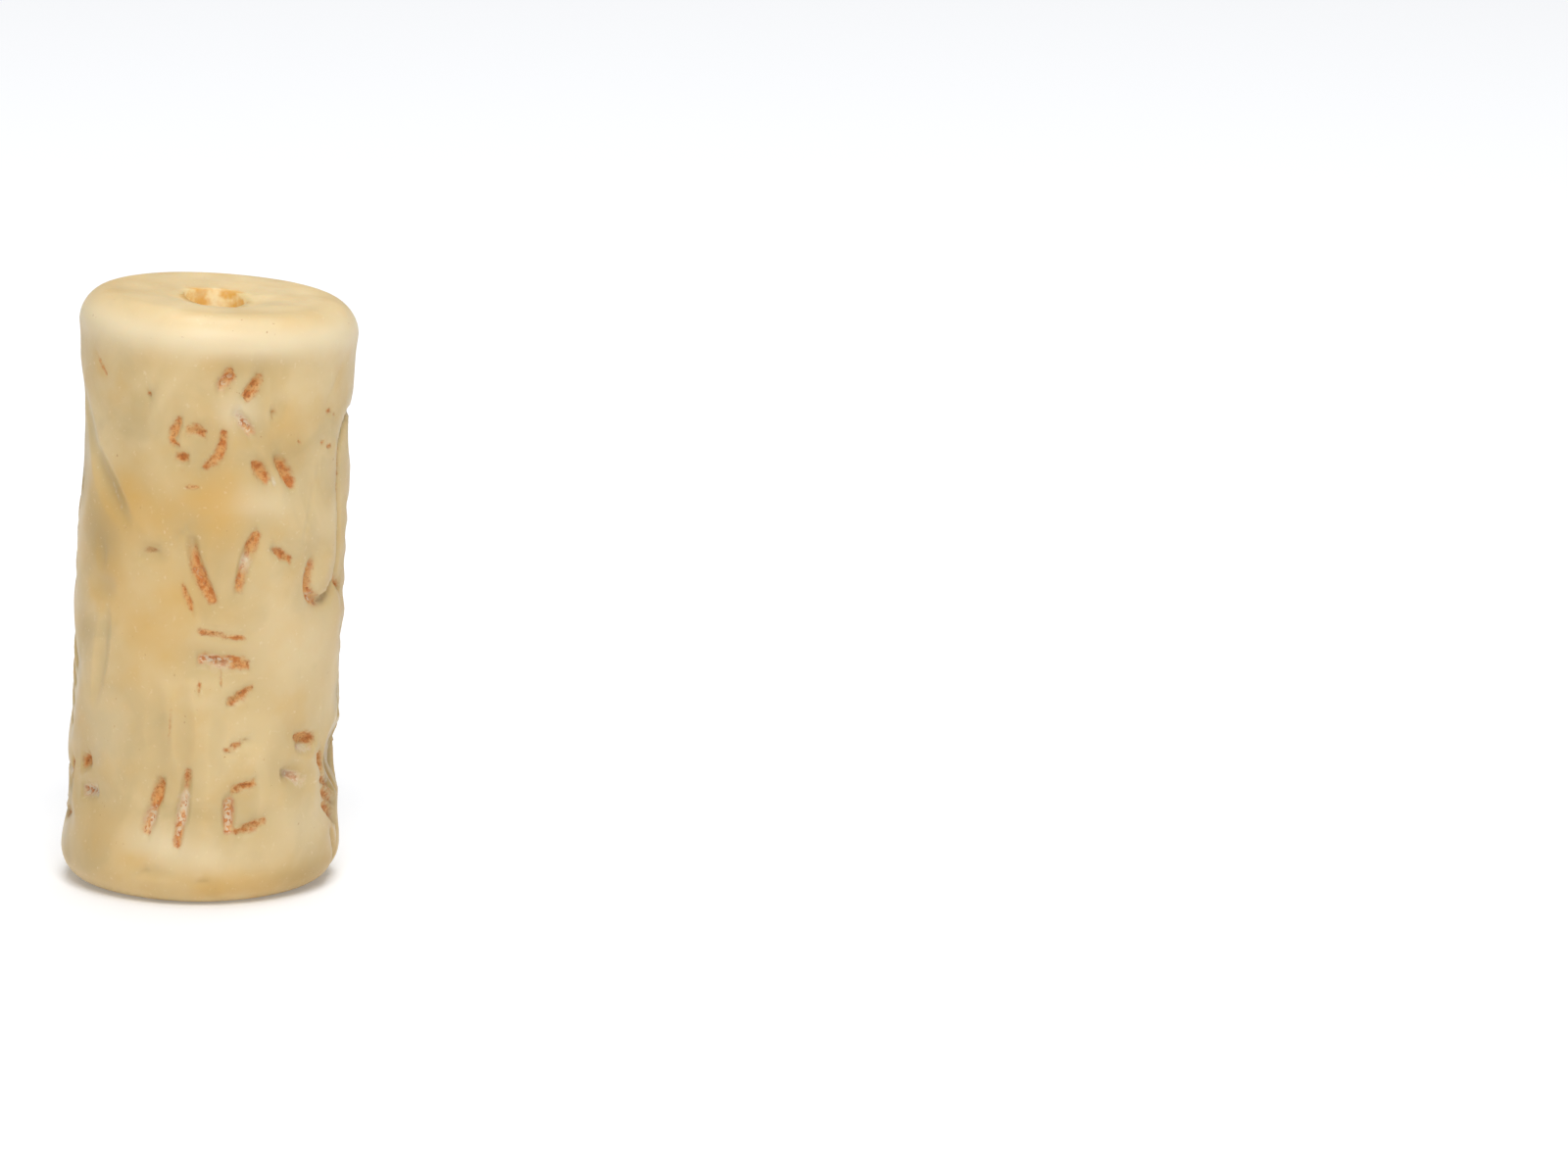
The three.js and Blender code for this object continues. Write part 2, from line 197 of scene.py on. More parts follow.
class Contest:
    """The engraved scene, figure by figure, by angle round the stone and share of its height.

    Angle 0 is the front and 90 the viewer's right.
    """

    def hero(self) -> Carving:
        """Engraves the hero at the front, facing left, in a crown and a fringed, belted skirt.

        Returns:
            The marks and hollows.
        """
        crown = [
            cut([6.3, 0.914, -0.3, 0.877], BROAD, (1, 0.9, 0.7), (0.1, 0.75, 0.7)),
            cut([19.2, 0.908, 11, 0.862], BROAD, (0.7, 1, 1, 0.9)),
            Hollow(25, 0.84, 0.8, 1.3, 0.17, -15),
            Hollow(9, 0.885, 1.5, 2.1, SHALLOW, 15),
            Hollow(8, 0.83, 1.0, 0.9, 0.2, -30),
            cut([7, 0.848, 16, 0.803], BROAD, (0.1, 0.7, 0.85), (0.6, 0.85, 0.75)),
            cut([25.6, 0.85, 22.8, 0.836], FINE, (0.6, 0.75)),
        ]
        head = [
            Hollow(-6, 0.79, 1.9, 1.6, SHALLOW),
            cut([-15.5, 0.83, -20.5, 0.787], CUT, (0.8, 1, 0.9)),
            cut([-20.5, 0.784, -15.5, 0.78], FINE, (0.6, 0.9)),
            cut([-14, 0.804, -9, 0.811, -4, 0.802], CUT, (0.9, 1, 0.9)),
            cut([-12, 0.797, -6.5, 0.797], HAIR, (0.3, 0.4), (0.8, 0.6)),
            cut([3.4, 0.815, 1.5, 0.772, -6, 0.744], CUT, (0.9, 1, 0.8), (0, 0.3, 0)),
            cut([-18, 0.762, -11, 0.762], CUT, (0.8, 1, 0.8)),
            cut([-16, 0.738, -9.5, 0.735], HAIR, (0.6, 0.6)),
            cut([-13.5, 0.716, -6, 0.712], HAIR, (0.5, 0.75, 0.6)),
            cut([16.2, 0.762, 24.2, 0.722], BROAD, (0.9, 1, 0.8)),
            cut([26.2, 0.772, 37, 0.71], BROAD, (0.2, 1, 1, 0.9), (0.3, 0, 0, 0)),
            cut([25.5, 0.732, 27, 0.718], HAIR, (0.1,), (0.6, 0.8)),
        ]
        chest = [
            Hollow(5, 0.585, 1.9, 2.3, SHALLOW),
            cut([-9.8, 0.632, -6, 0.575, 2.2, 0.515], BROAD, (0.0, 0.7, 1, 1, 1), (0, 0, 0.5, 0.2, 0)),
            cut([-12.6, 0.55, -7, 0.502], FINE, (0.7, 0.9, 0.8)),
            cut([20.4, 0.644, 15, 0.592, 11.6, 0.533], BROAD,
                (1, 1, 0.4, 0.9, 0.8), (0, 0.1, 0.9, 0.4, 0.3)),
        ]
        arms = [
            Hollow(-26.5, 0.6, 1.5, 0.75, 0.26, -4),
            cut([-10, 0.648, -20, 0.612], HAIR, CLEAN),
            cut([-22, 0.606, -34, 0.592], FINE, (0.05, 0.75, 0)),
            cut([26, 0.614, 37.6, 0.584], CUT, (0.3, 1, 1)),
            cut([49, 0.75, 41, 0.6], SCRATCH, CLEAN),
        ]
        belt = [
            cut([-6.2, 0.474, 16.4, 0.458], FINE, (0.9, 0.9, 0.7, 0.9, 1)),
            cut([-5.4, 0.433, 19.4, 0.419], FINE, (0.4, 0.8, 1, 1)),
            cut([-5.4, 0.424, 12, 0.416], BROAD, (0.8, 0.75, 0.5), (0.6, 0.9, 0.7)),
            cut([7, 0.415, 19, 0.412], CUT, (0.6, 1, 0.9)),
            cut([-3, 0.39, -3.9, 0.36], HAIR, (0.9, 0.5)),
            cut([5.8, 0.404, 6, 0.374], HAIR, (0.3, 0.8)),
        ]
        skirt = [
            Hollow(-8, 0.25, 0.62, 5.6, SHALLOW, 3),
            Hollow(-18.5, 0.24, 0.75, 5.2, SHALLOW, 6),
            Hollow(5.5, 0.27, 0.6, 5.0, 0.16, -1),
            Hollow(-21.5, 0.165, 0.9, 2.2, 0.2, 14),
            Hollow(-8.6, 0.165, 0.8, 2.6, 0.2, 8),
            cut([-14.6, 0.345, -15.8, 0.27], SCRATCH, (0.4, 0.5, 0.3)),
            cut([-17.8, 0.22, -21.6, 0.162], BROAD, (0.6, 1, 1)),
            cut([-20.8, 0.176, -25.4, 0.118], BROAD, (0.6, 0.75, 0.9), (0.5, 0.85, 0.5)),
            cut([-6.4, 0.237, -8, 0.185], CUT, (0.8, 0.6, 0.3), (0.1, 0.3, 0.7)),
            cut([-7.6, 0.198, -9.2, 0.14], BROAD, (0.5, 0.8), (0.85, 0.8)),
            cut([-8.9, 0.158, -10.8, 0.096], CUT, (0.8, 1, 0.8), (0.75, 0.7, 0.3)),
        ]
        fringe = [
            cut([20.8, 0.377, 8.2, 0.346], CUT, (0.8, 1, 0.8), (0, 0.3, 0)),
            cut([20.2, 0.291, 7.6, 0.266], FINE, (0.2, 0.9, 0.7)),
            cut([23.6, 0.213, 11, 0.2], CUT, (1, 0.9, 0.8)),
            cut([11, 0.192, 11.4, 0.122], BROAD, (0.8, 0.9, 0.9), (0.7, 0.75, 0.7)),
            cut([28.8, 0.147, 12.8, 0.126], CUT, (0.9, 0.9, 0.8), (0, 0.3, 0.2)),
        ]
        feet = [
            Hollow(-19, 0.06, 1.5, 0.45, 0.2, 0),
            cut([-17.5, 0.071, -29, 0.05], HAIR, (0, 0.3, 0.2)),
            cut([4.5, 0.047, -2, 0.047], HAIR, CLEAN),
        ]
        return [*crown, *head, *chest, *arms, *belt, *skirt, *fringe, *feet]

    def dagger(self) -> Carving:
        """Engraves the dagger between the hero and the left animal.

        Returns:
            The marks and hollows.
        """
        return [
            cut([-47, 0.612, -55, 0.612], SCRATCH, CLEAN),
            Hollow(-53, 0.58, 0.5, 1.0, 0.12),
            Hollow(-53, 0.525, 1.3, 0.9, SHALLOW, 8),
            Hollow(-51.5, 0.41, 0.65, 2.9, 0.26, -7),
        ]

    def right_animal(self) -> Carving:
        """Engraves the maned animal on the right, head down, its tail hooked towards the hero.

        Returns:
            The marks and hollows.
        """
        body = [
            Hollow(99, 0.775, 2.9, 2.3, DEEP, -20),
            Hollow(97, 0.56, 1.8, 4.2, SUNK, 4),
            Hollow(90, 0.37, 1.6, 3.0, SUNK, 6),
            Hollow(84, 0.215, 3.1, 2.3, SCOOPED, -20),
            cut([129, 0.783, 107.6, 0.68], GOUGE),
        ]
        mane = [
            *row(4, [99.3, 0.624, 84, 0.655], [101.4, 0.474, 84, 0.504], FINE),
            *row(3, [98.6, 0.3975, 81.4, 0.436], [91.7, 0.297, 78.6, 0.336], CUT, FILLED),
        ]
        tail = [
            cut([88, 0.812, 80, 0.82, 72.4, 0.805, 67, 0.777, 65.5, 0.735], FINE, (0.1, 0.3, 0.5)),
            cut([66.5, 0.765, 66.2, 0.7, 69, 0.638, 69, 0.554, 67, 0.52], FINE, (0.6, 0.5, 0.05, 0.1)),
            cut([68, 0.535, 63, 0.513, 55.8, 0.508, 49, 0.522, 47.3, 0.548, 50.4, 0.588], BROAD,
                (0.6, 0.3, 1, 0.9, 0.8), (0, 0.2, 0.6, 0.4, 0.5)),
            cut([69, 0.538, 76.5, 0.516], CUT, (0.9, 0.8)),
        ]
        head = [
            cut([107, 0.2415, 98.6, 0.1635], FINE),
            cut([117, 0.317, 104, 0.253], CUT, FILLED),
            cut([104, 0.275, 95, 0.189], BROAD),
            cut([97, 0.289, 91.7, 0.228], FINE),
            cut([82, 0.325, 80, 0.278], FINE),
            cut([60, 0.243, 65, 0.206], BROAD, (1, 1, 0.8)),
            cut([69, 0.25, 72, 0.15, 76, 0.1], SMEAR, (0.3, 0.42, 0.3)),
            cut([74.5, 0.247, 87.6, 0.172, 90.3, 0.116], CUT, FILLED),
            *row(3, [80, 0.165, 60.6, 0.196], [82.8, 0.1, 62.5, 0.152], CUT, (0.15, 0.7, 1, 1)),
            cut([86, 0.102, 80, 0.033], FINE),
            cut([71, 0.097, 80, 0.033], FINE),
        ]
        legs = [
            *limb([135, 0.933, 125.5, 0.885, 127, 0.805], CUT),
            cut([122, 0.95, 132, 0.95], CUT),
            *limb([134.5, 0.71, 124.5, 0.667, 112.4, 0.605], CUT, FILLED),
            cut([129, 0.44, 113, 0.356], GOUGE),
            *limb([130, 0.42, 130, 0.255, 123.6, 0.144, 136, 0.086], CUT),
            *limb([114.5, 0.19, 111.7, 0.085, 121.4, 0.025], CUT),
            cut([64.8, 0.914, 50.3, 0.841], SCRATCH, (0.1, 0.15, 0.3)),
            *row(2, [60.5, 0.828, 52.2, 0.838], [58.8, 0.77, 49, 0.787], HAIR, (0.9, 0.7)),
            cut([37.6, 0.795, 36.4, 0.789], HAIR, (0.8, 0.8)),
        ]
        ears = [
            Hollow(49.5, 0.268, 1.3, 0.85, SUNK, 6),
            Hollow(41, 0.222, 1.4, 0.95, SUNK, 20),
            cut([41.6, 0.28, 58, 0.268], BROAD, (0.7, 1, 1, 0.8)),
            cut([43, 0.261, 55, 0.253], CUT, (0.45, 0.3, 0.45), (0.6, 0.75, 0.5)),
            cut([35, 0.226, 49, 0.202], BROAD, (0.1, 0.5, 0.65), (0.2, 0.8, 0.75)),
            cut([43, 0.218, 50, 0.19], SMEAR, (0, 0.4, 0.2), (0.3, 0.62, 0.3)),
        ]
        return [*body, *mane, *tail, *head, *legs, *ears]

    def skirted_figure(self) -> Carving:
        """Engraves the second figure, at the back, who holds up a leg, in a long folded skirt.

        Returns:
            The marks and hollows.
        """
        head = [
            Hollow(193, 0.805, 0.9, 2.1, SUNK),
            cut([189, 0.922, 173, 0.866], CUT, FILLED),
            cut([189.5, 0.872, 173, 0.844], CUT),
            cut([166, 0.88, 153, 0.766], BROAD, FILLED),
        ]
        chest = [
            Hollow(194, 0.63, 1.9, 2.8, SHALLOW),
            cut([209, 0.71, 201, 0.545], BROAD, FILLED),
            cut([207.4, 0.727, 202.6, 0.657], FINE),
            cut([200, 0.735, 196, 0.57], CUT),
            cut([173, 0.725, 188, 0.62], BROAD, (0.3, 1, 0.8), (0.6, 0, 0)),
            cut([168, 0.66, 179, 0.56], CUT),
        ]
        arms = [
            cut([180, 0.745, 149.5, 0.663], BROAD),
            cut([170, 0.7, 152, 0.638], BROAD, FILLED),
            cut([211.5, 0.7, 221, 0.67, 231, 0.75], CUT),
            cut([217.8, 0.94, 221, 0.86, 227, 0.75], HAIR),
            cut([154, 0.915, 142, 0.895], CUT),
            *limb([142.6, 0.885, 139.8, 0.75, 146, 0.65], CUT),
        ]
        belt = row(2, [200.5, 0.54, 181, 0.54], [206, 0.507, 181, 0.507], CUT, FILLED)
        skirt = [
            Hollow(197, 0.29, 1.4, 6.4, SHALLOW),
            Hollow(180, 0.29, 1.2, 6.4, SHALLOW, 3),
            cut([209.5, 0.27, 209.5, 0.1], FINE),
            cut([200.5, 0.49, 201, 0.1], CUT),
            cut([192, 0.49, 191, 0.38, 184, 0.24, 180.5, 0.088], CUT, (0, 0.2, 0.8, 0.6)),
            cut([182.6, 0.498, 175, 0.367, 171, 0.228, 166, 0.088], CUT,
                (0.5, 0.1, 0.7, 0.9), (0, 0.2, 0.6)),
            cut([211, 0.098, 163, 0.094], FINE),
        ]
        feet = [
            cut([200.5, 0.075, 196, 0.024, 190, 0.02], CUT),
            cut([169.5, 0.035, 151, 0.019], CUT),
        ]
        return [*head, *chest, *arms, *belt, *skirt, *feet]

    def left_animal(self) -> Carving:
        """Engraves the horned animal on the left, head down.

        Returns:
            The marks and hollows.
        """
        body = [
            Hollow(-99, 0.81, 2.9, 2.3, DEEP, 12),
            Hollow(-88, 0.72, 3.2, 3.9, DISHED),
            cut([-120.7, 0.805, -111, 0.744], BROAD),
            Hollow(-103, 0.6, 1.7, 3.9, SUNK),
            Hollow(-102, 0.4, 1.7, 2.8, SUNK),
            Hollow(-104, 0.27, 1.5, 2.2, SUNK),
            Hollow(-87, 0.155, 2.0, 1.5, SUNK, 8),
        ]
        ribs = [
            *row(4, [-77, 0.669, -92.4, 0.694], [-87.5, 0.563, -99, 0.596], FINE),
            cut([-85.5, 0.504, -98.6, 0.54], FINE),
            *row(4, [-76, 0.372, -91, 0.425], [-84, 0.269, -96.6, 0.306], CUT, FILLED),
        ]
        head = [
            *row(4, [-105, 0.322, -117, 0.303], [-93, 0.2, -113.8, 0.236], FINE),
            *row(2, [-75, 0.19, -99, 0.19], [-78.6, 0.155, -97, 0.155], FINE, (0.9, 0.5, 0.3)),
            cut([-74.5, 0.125, -88, 0.108, -101.4, 0.125], CUT, FILLED),
            cut([-113.8, 0.1635, -104, 0.102], CUT),
            Hollow(-62.5, 0.225, 0.8, 0.75, DISHED),
            cut([-57.5, 0.226, -67.5, 0.213], BROAD, (1, 1, 1)),
            Hollow(-58.5, 0.177, 1.2, 0.6, SHALLOW),
            cut([-51.5, 0.178, -65.5, 0.168], BROAD, (0.4, 0.8, 0.7), (0.95, 0.95, 0.85)),
            cut([-76, 0.217, -75.5, 0.168], FINE, (0.9, 0.9)),
        ]
        legs = [
            Hollow(-68, 0.781, 0.75, 2.9, 0.2, 34),
            Hollow(-51.5, 0.698, 0.85, 2.8, SUNK, 41),
            cut([-53, 0.703, -43, 0.655], SCRATCH, (0.1, 0.2, 0.25), (0.2, 0.5, 0.35, 0.55)),
            *limb([-126, 0.7215, -114.5, 0.6575], BROAD),
            cut([-122, 0.908, -128, 0.916], FINE),
            cut([-111.7, 0.453, -116.6, 0.47], FINE),
            cut([-128, 0.794, -133, 0.75], CUT),
            *limb([-126, 0.5, -134, 0.37], CUT),
            cut([-127, 0.292, -136.6, 0.2415], BROAD, FILLED),
            cut([-133.8, 0.353, -140, 0.3], BROAD),
            cut([-132, 0.2, -128, 0.047], FINE),
            cut([-133, 0.214, -129, 0.158, -124, 0.102, -116, 0.033, -106, 0.015], CUT),
        ]
        tail = [
            cut([-53.5, 0.876, -64, 0.912], SCRATCH, (0.8, 0.8, 0.4)),
            cut([-22, 0.93, -34, 0.8], SCRATCH, CLEAN),
            cut([-25, 0.91, -28.5, 0.88], SCRATCH, CLEAN),
            cut([-30, 0.866, -31, 0.86], FINE, (0.8, 0.8)),
        ]
        return [*body, *ribs, *head, *legs, *tail]

    def carving(self) -> Carving:
        """Engraves the whole scene, figure by figure.

        Returns:
            The marks and hollows.
        """
        return [
            *self.hero(),
            *self.dagger(),
            *self.right_animal(),
            *self.skirted_figure(),
            *self.left_animal(),
        ]


@dataclass
class Stone:
    """The stone's form in millimetres: a waisted, drilled round that leans, with rounded ends."""

    height: float = 35.0
    base_diameter: float = 16.5
    waist_diameter: float = 15.95
    top_diameter: float = 16.4
    edge_radius: float = 2.1
    waist_share: float = 0.45
    bore_diameter: float = 3.3
    mouth_flare: float = 0.26
    mouth_depth: float = 0.72
    mouth_aside: tuple[float, float] = (-0.35, -0.3)
    mouth_wear: float = 0.14
    front_wear: float = 0.34
    front_wear_turn: float = 0.3
    wear_reach: float = 1.35
    lean: float = math.radians(1.9)
    top_tilt: float = math.radians(3.3)

    @property
    def mm_per_degree(self) -> float:
        """The length of one degree round the stone."""
        return math.pi * self.waist_diameter / 360

    @property
    def mouth_radius(self) -> float:
        """The radius of the bore's mouths."""
        return self.bore_diameter / 2 + self.mouth_flare

    @property
    def flat_radius(self) -> float:
        """The radius of the ends' flat faces."""
        return self.waist_diameter / 2 - self.edge_radius

    def wall_radius(self, share: np.ndarray) -> np.ndarray:
        """The wall's radius.

        Args:
            share: Shares of the height.

        Returns:
            The radius at each share.
        """
        waist = self.waist_share
        at_base = (share - waist) * (share - 1) / waist
        at_waist = share * (1 - share) / (waist * (1 - waist))
        at_top = share * (share - waist) / (1 - waist)
        diameters = (
            self.base_diameter * at_base
            + self.waist_diameter * at_waist
            + self.top_diameter * at_top
        )
        return diameters / 2

    def settle(self, points: np.ndarray) -> np.ndarray:
        """Leans upright points and lowers the right of the top.

        Args:
            points: Points of the upright form.

        Returns:
            The points as the stone stands.
        """
        x, y, z = points.T
        z = z - (z / self.height) * x * math.tan(self.top_tilt)
        x = x + (z - self.height / 2) * math.tan(self.lean)
        return np.stack([x, y, z], axis=1)


class Relief:
    """Works out how deep the carving goes, and what lies in it, at points of the wall.

    A mark is a rounded groove with blunt ends and a ragged width, in a soft dip that wear has
    left. Its width and reach are in the graver's widths.
    """

    CURVE_POINTS = 25
    BLUNTNESS = 0.42
    NARROWEST = 0.6
    RAGGED = 0.14
    RAGGED_STEPS = 9
    GROOVE_RIM = 1.12
    GROOVE_CURVE = 1.25
    DIP_REACH = 2.9
    DIP_SHARE = 0.52
    SETTLED = 0.1
    DEPOSIT_RIM = 1.25
    DEPOSIT_FALL = 0.95
    DEPOSIT_ENDS = 1.6
    HOLLOW_RIM = 1.15
    HOLLOW_SINK = 1.15
    HOLLOW_CURVE = 1.4
    OVERLAP = 0.25
    SEED = 7

    def __init__(self, stone: Stone, angles: np.ndarray, shares: np.ndarray) -> None:
        """Starts with an uncut wall.

        Args:
            stone: The stone's form.
            angles: The points' angles, in degrees.
            shares: The points' shares of the height.
        """
        self.stone = stone
        self.angles = angles
        self.shares = shares
        self.hollows = np.zeros(len(angles))
        self.cuts = np.zeros(len(angles))
        self.dips = np.zeros(len(angles))
        self.rust = np.zeros(len(angles))
        self.chalk = np.zeros(len(angles))
        self.random = np.random.default_rng(self.SEED)

    def offsets(self, angle: float, share: float) -> tuple[np.ndarray, np.ndarray]:
        """The points' distances from a place on the wall.

        Args:
            angle: The place's angle.
            share: The place's share of the height.

        Returns:
            Millimetres round the stone and up it.
        """
        round_off = (self.angles - angle + 180) % 360 - 180
        up_off = (self.shares - share) * self.stone.height
        return round_off * self.stone.mm_per_degree, up_off

    def oval(self, spot: Hollow | Stain, turned: float = 0.0) -> np.ndarray:
        """How far points are from an oval's middle, with 1 at its edge.

        Args:
            spot: The oval's place and half sizes.
            turned: The angle it is turned by, in degrees.

        Returns:
            The distance of each point.
        """
        x, y = self.offsets(spot.angle, spot.share)
        c, s = math.cos(math.radians(turned)), math.sin(math.radians(turned))
        across, up = x * c + y * s, y * c - x * s
        return np.hypot(across / spot.half_wide, up / spot.half_high)

    def scoop(self, hollow: Hollow) -> None:
        """Sinks an oval hollow with a soft rim.

        Args:
            hollow: The hollow.
        """
        reach = self.oval(hollow, hollow.turned) / self.HOLLOW_RIM
        depth = hollow.depth * np.clip(1 - reach**2, 0, 1) ** self.HOLLOW_CURVE * self.HOLLOW_SINK
        shared = np.minimum(self.hollows, depth)
        self.hollows = np.maximum(self.hollows, depth) + self.OVERLAP * shared

    def engrave(self, mark: Mark) -> None:
        """Cuts a mark, with the soft dip that wear has left round it and its deposit.

        Args:
            mark: The mark.
        """
        angles, shares = mark.path[::2], mark.path[1::2]
        middle = (min(angles) + max(angles)) / 2
        x, y = self.offsets(middle, 0.0)
        scale = self.stone.mm_per_degree
        line = self.smooth_line(
            [(a - middle) * scale for a in angles], [s * self.stone.height for s in shares]
        )
        reach = mark.tool.width * self.DIP_REACH
        near = np.flatnonzero(
            (x > line[:, 0].min() - reach)
            & (x < line[:, 0].max() + reach)
            & (y > line[:, 1].min() - reach)
            & (y < line[:, 1].max() + reach)
        )
        distance, along = self.to_line(np.stack([x[near], y[near]], axis=1), line)
        ragged = 1 + self.RAGGED * self.along(self.random.uniform(-1, 1, self.RAGGED_STEPS), along)
        swell = np.sin(np.pi * np.clip(along, 0.0, 1.0)) ** self.BLUNTNESS
        half = mark.tool.width / 2 * ragged * (self.NARROWEST + (1 - self.NARROWEST) * swell)
        rust = self.along(mark.rust, along)
        chalk = self.along(mark.chalk, along)
        across = distance / half
        groove = np.clip(1 - (across / self.GROOVE_RIM) ** 2, 0, 1) ** self.GROOVE_CURVE
        filling = 1 - self.SETTLED * np.maximum(rust, chalk)
        depth = mark.tool.depth * swell * groove * filling
        soft = mark.tool.depth * self.DIP_SHARE * np.exp(-((distance / (reach / 2)) ** 2))
        self.cuts[near] = np.maximum(self.cuts[near], depth)
        self.dips[near] = np.maximum(self.dips[near], soft)
        body = np.clip(self.DEPOSIT_RIM - across * self.DEPOSIT_FALL, 0, 1)
        body = body * np.clip(swell * self.DEPOSIT_ENDS, 0, 1)
        self.rust[near] = np.maximum(self.rust[near], body * rust)
        self.chalk[near] = np.maximum(self.chalk[near], body * chalk)

    def along(self, values: Amounts | np.ndarray, t: np.ndarray) -> np.ndarray:
        """Reads values that are spread evenly along a mark at shares of its length."""
        return np.interp(t, np.linspace(0, 1, len(values)), values)

    def smooth_line(self, xs: list[float], ys: list[float]) -> np.ndarray:
        """A smooth curve through points.

        Args:
            xs: Millimetres round the stone.
            ys: Millimetres up it.

        Returns:
            Points along the curve.
        """
        points = np.stack([xs, ys], axis=1)
        ends = np.vstack([2 * points[0] - points[1], points, 2 * points[-1] - points[-2]])
        count = len(points) - 1
        out = []
        for t in np.linspace(0, count, self.CURVE_POINTS if count > 1 else 2):
            i = min(int(t), count - 1)
            u = t - i
            a, b, c, d = ends[i : i + 4]
            square = (2 * a - 5 * b + 4 * c - d) * u**2
            cube = (3 * b - a - 3 * c + d) * u**3
            out.append(0.5 * (2 * b + (c - a) * u + square + cube))
        return np.array(out)

    def to_line(self, points: np.ndarray, line: np.ndarray) -> tuple[np.ndarray, np.ndarray]:
        """The points' distance to a line and how far along it they are.

        Args:
            points: Points on the chart.
            line: The line's points.

        Returns:
            The distance, and the share of the line's length, from 0 to 1.
        """
        steps = np.diff(line, axis=0)
        lengths = np.linalg.norm(steps, axis=1)
        before = np.concatenate([[0], np.cumsum(lengths)])[:-1]
        best = np.full(len(points), np.inf)
        along = np.zeros(len(points))
        for start, step, length, done in zip(line, steps, lengths, before):
            t = np.clip((points - start) @ step / length**2, 0, 1)
            far = np.linalg.norm(points - start - t[:, None] * step, axis=1)
            closer = far < best
            best[closer] = far[closer]
            along[closer] = (done + t[closer] * length) / lengths.sum()
        return best, along

    def depth(self) -> np.ndarray:
        """The depth of the carving at each point."""
        return np.maximum(self.hollows, self.dips) + self.cuts


@dataclass
class Blank:
    """Where the blank's points are: radius in mm, angle in radians and share of the height."""

    TOP_RIM = 0.999
    MIDDLE = 0.5

    radius: np.ndarray
    turn: np.ndarray
    share: np.ndarray
    stone: Stone

    @property
    def in_bore(self) -> np.ndarray:
        """True for the points of the bore and its mouths."""
        return self.radius < self.stone.mouth_radius * (1 + SLACK)

    @property
    def on_wall(self) -> np.ndarray:
        """True for the points of the wall and its rounded ends."""
        return self.radius > self.stone.flat_radius - SLACK

    @property
    def upper(self) -> np.ndarray:
        """True for the points of the upper half."""
        return self.share > self.MIDDLE


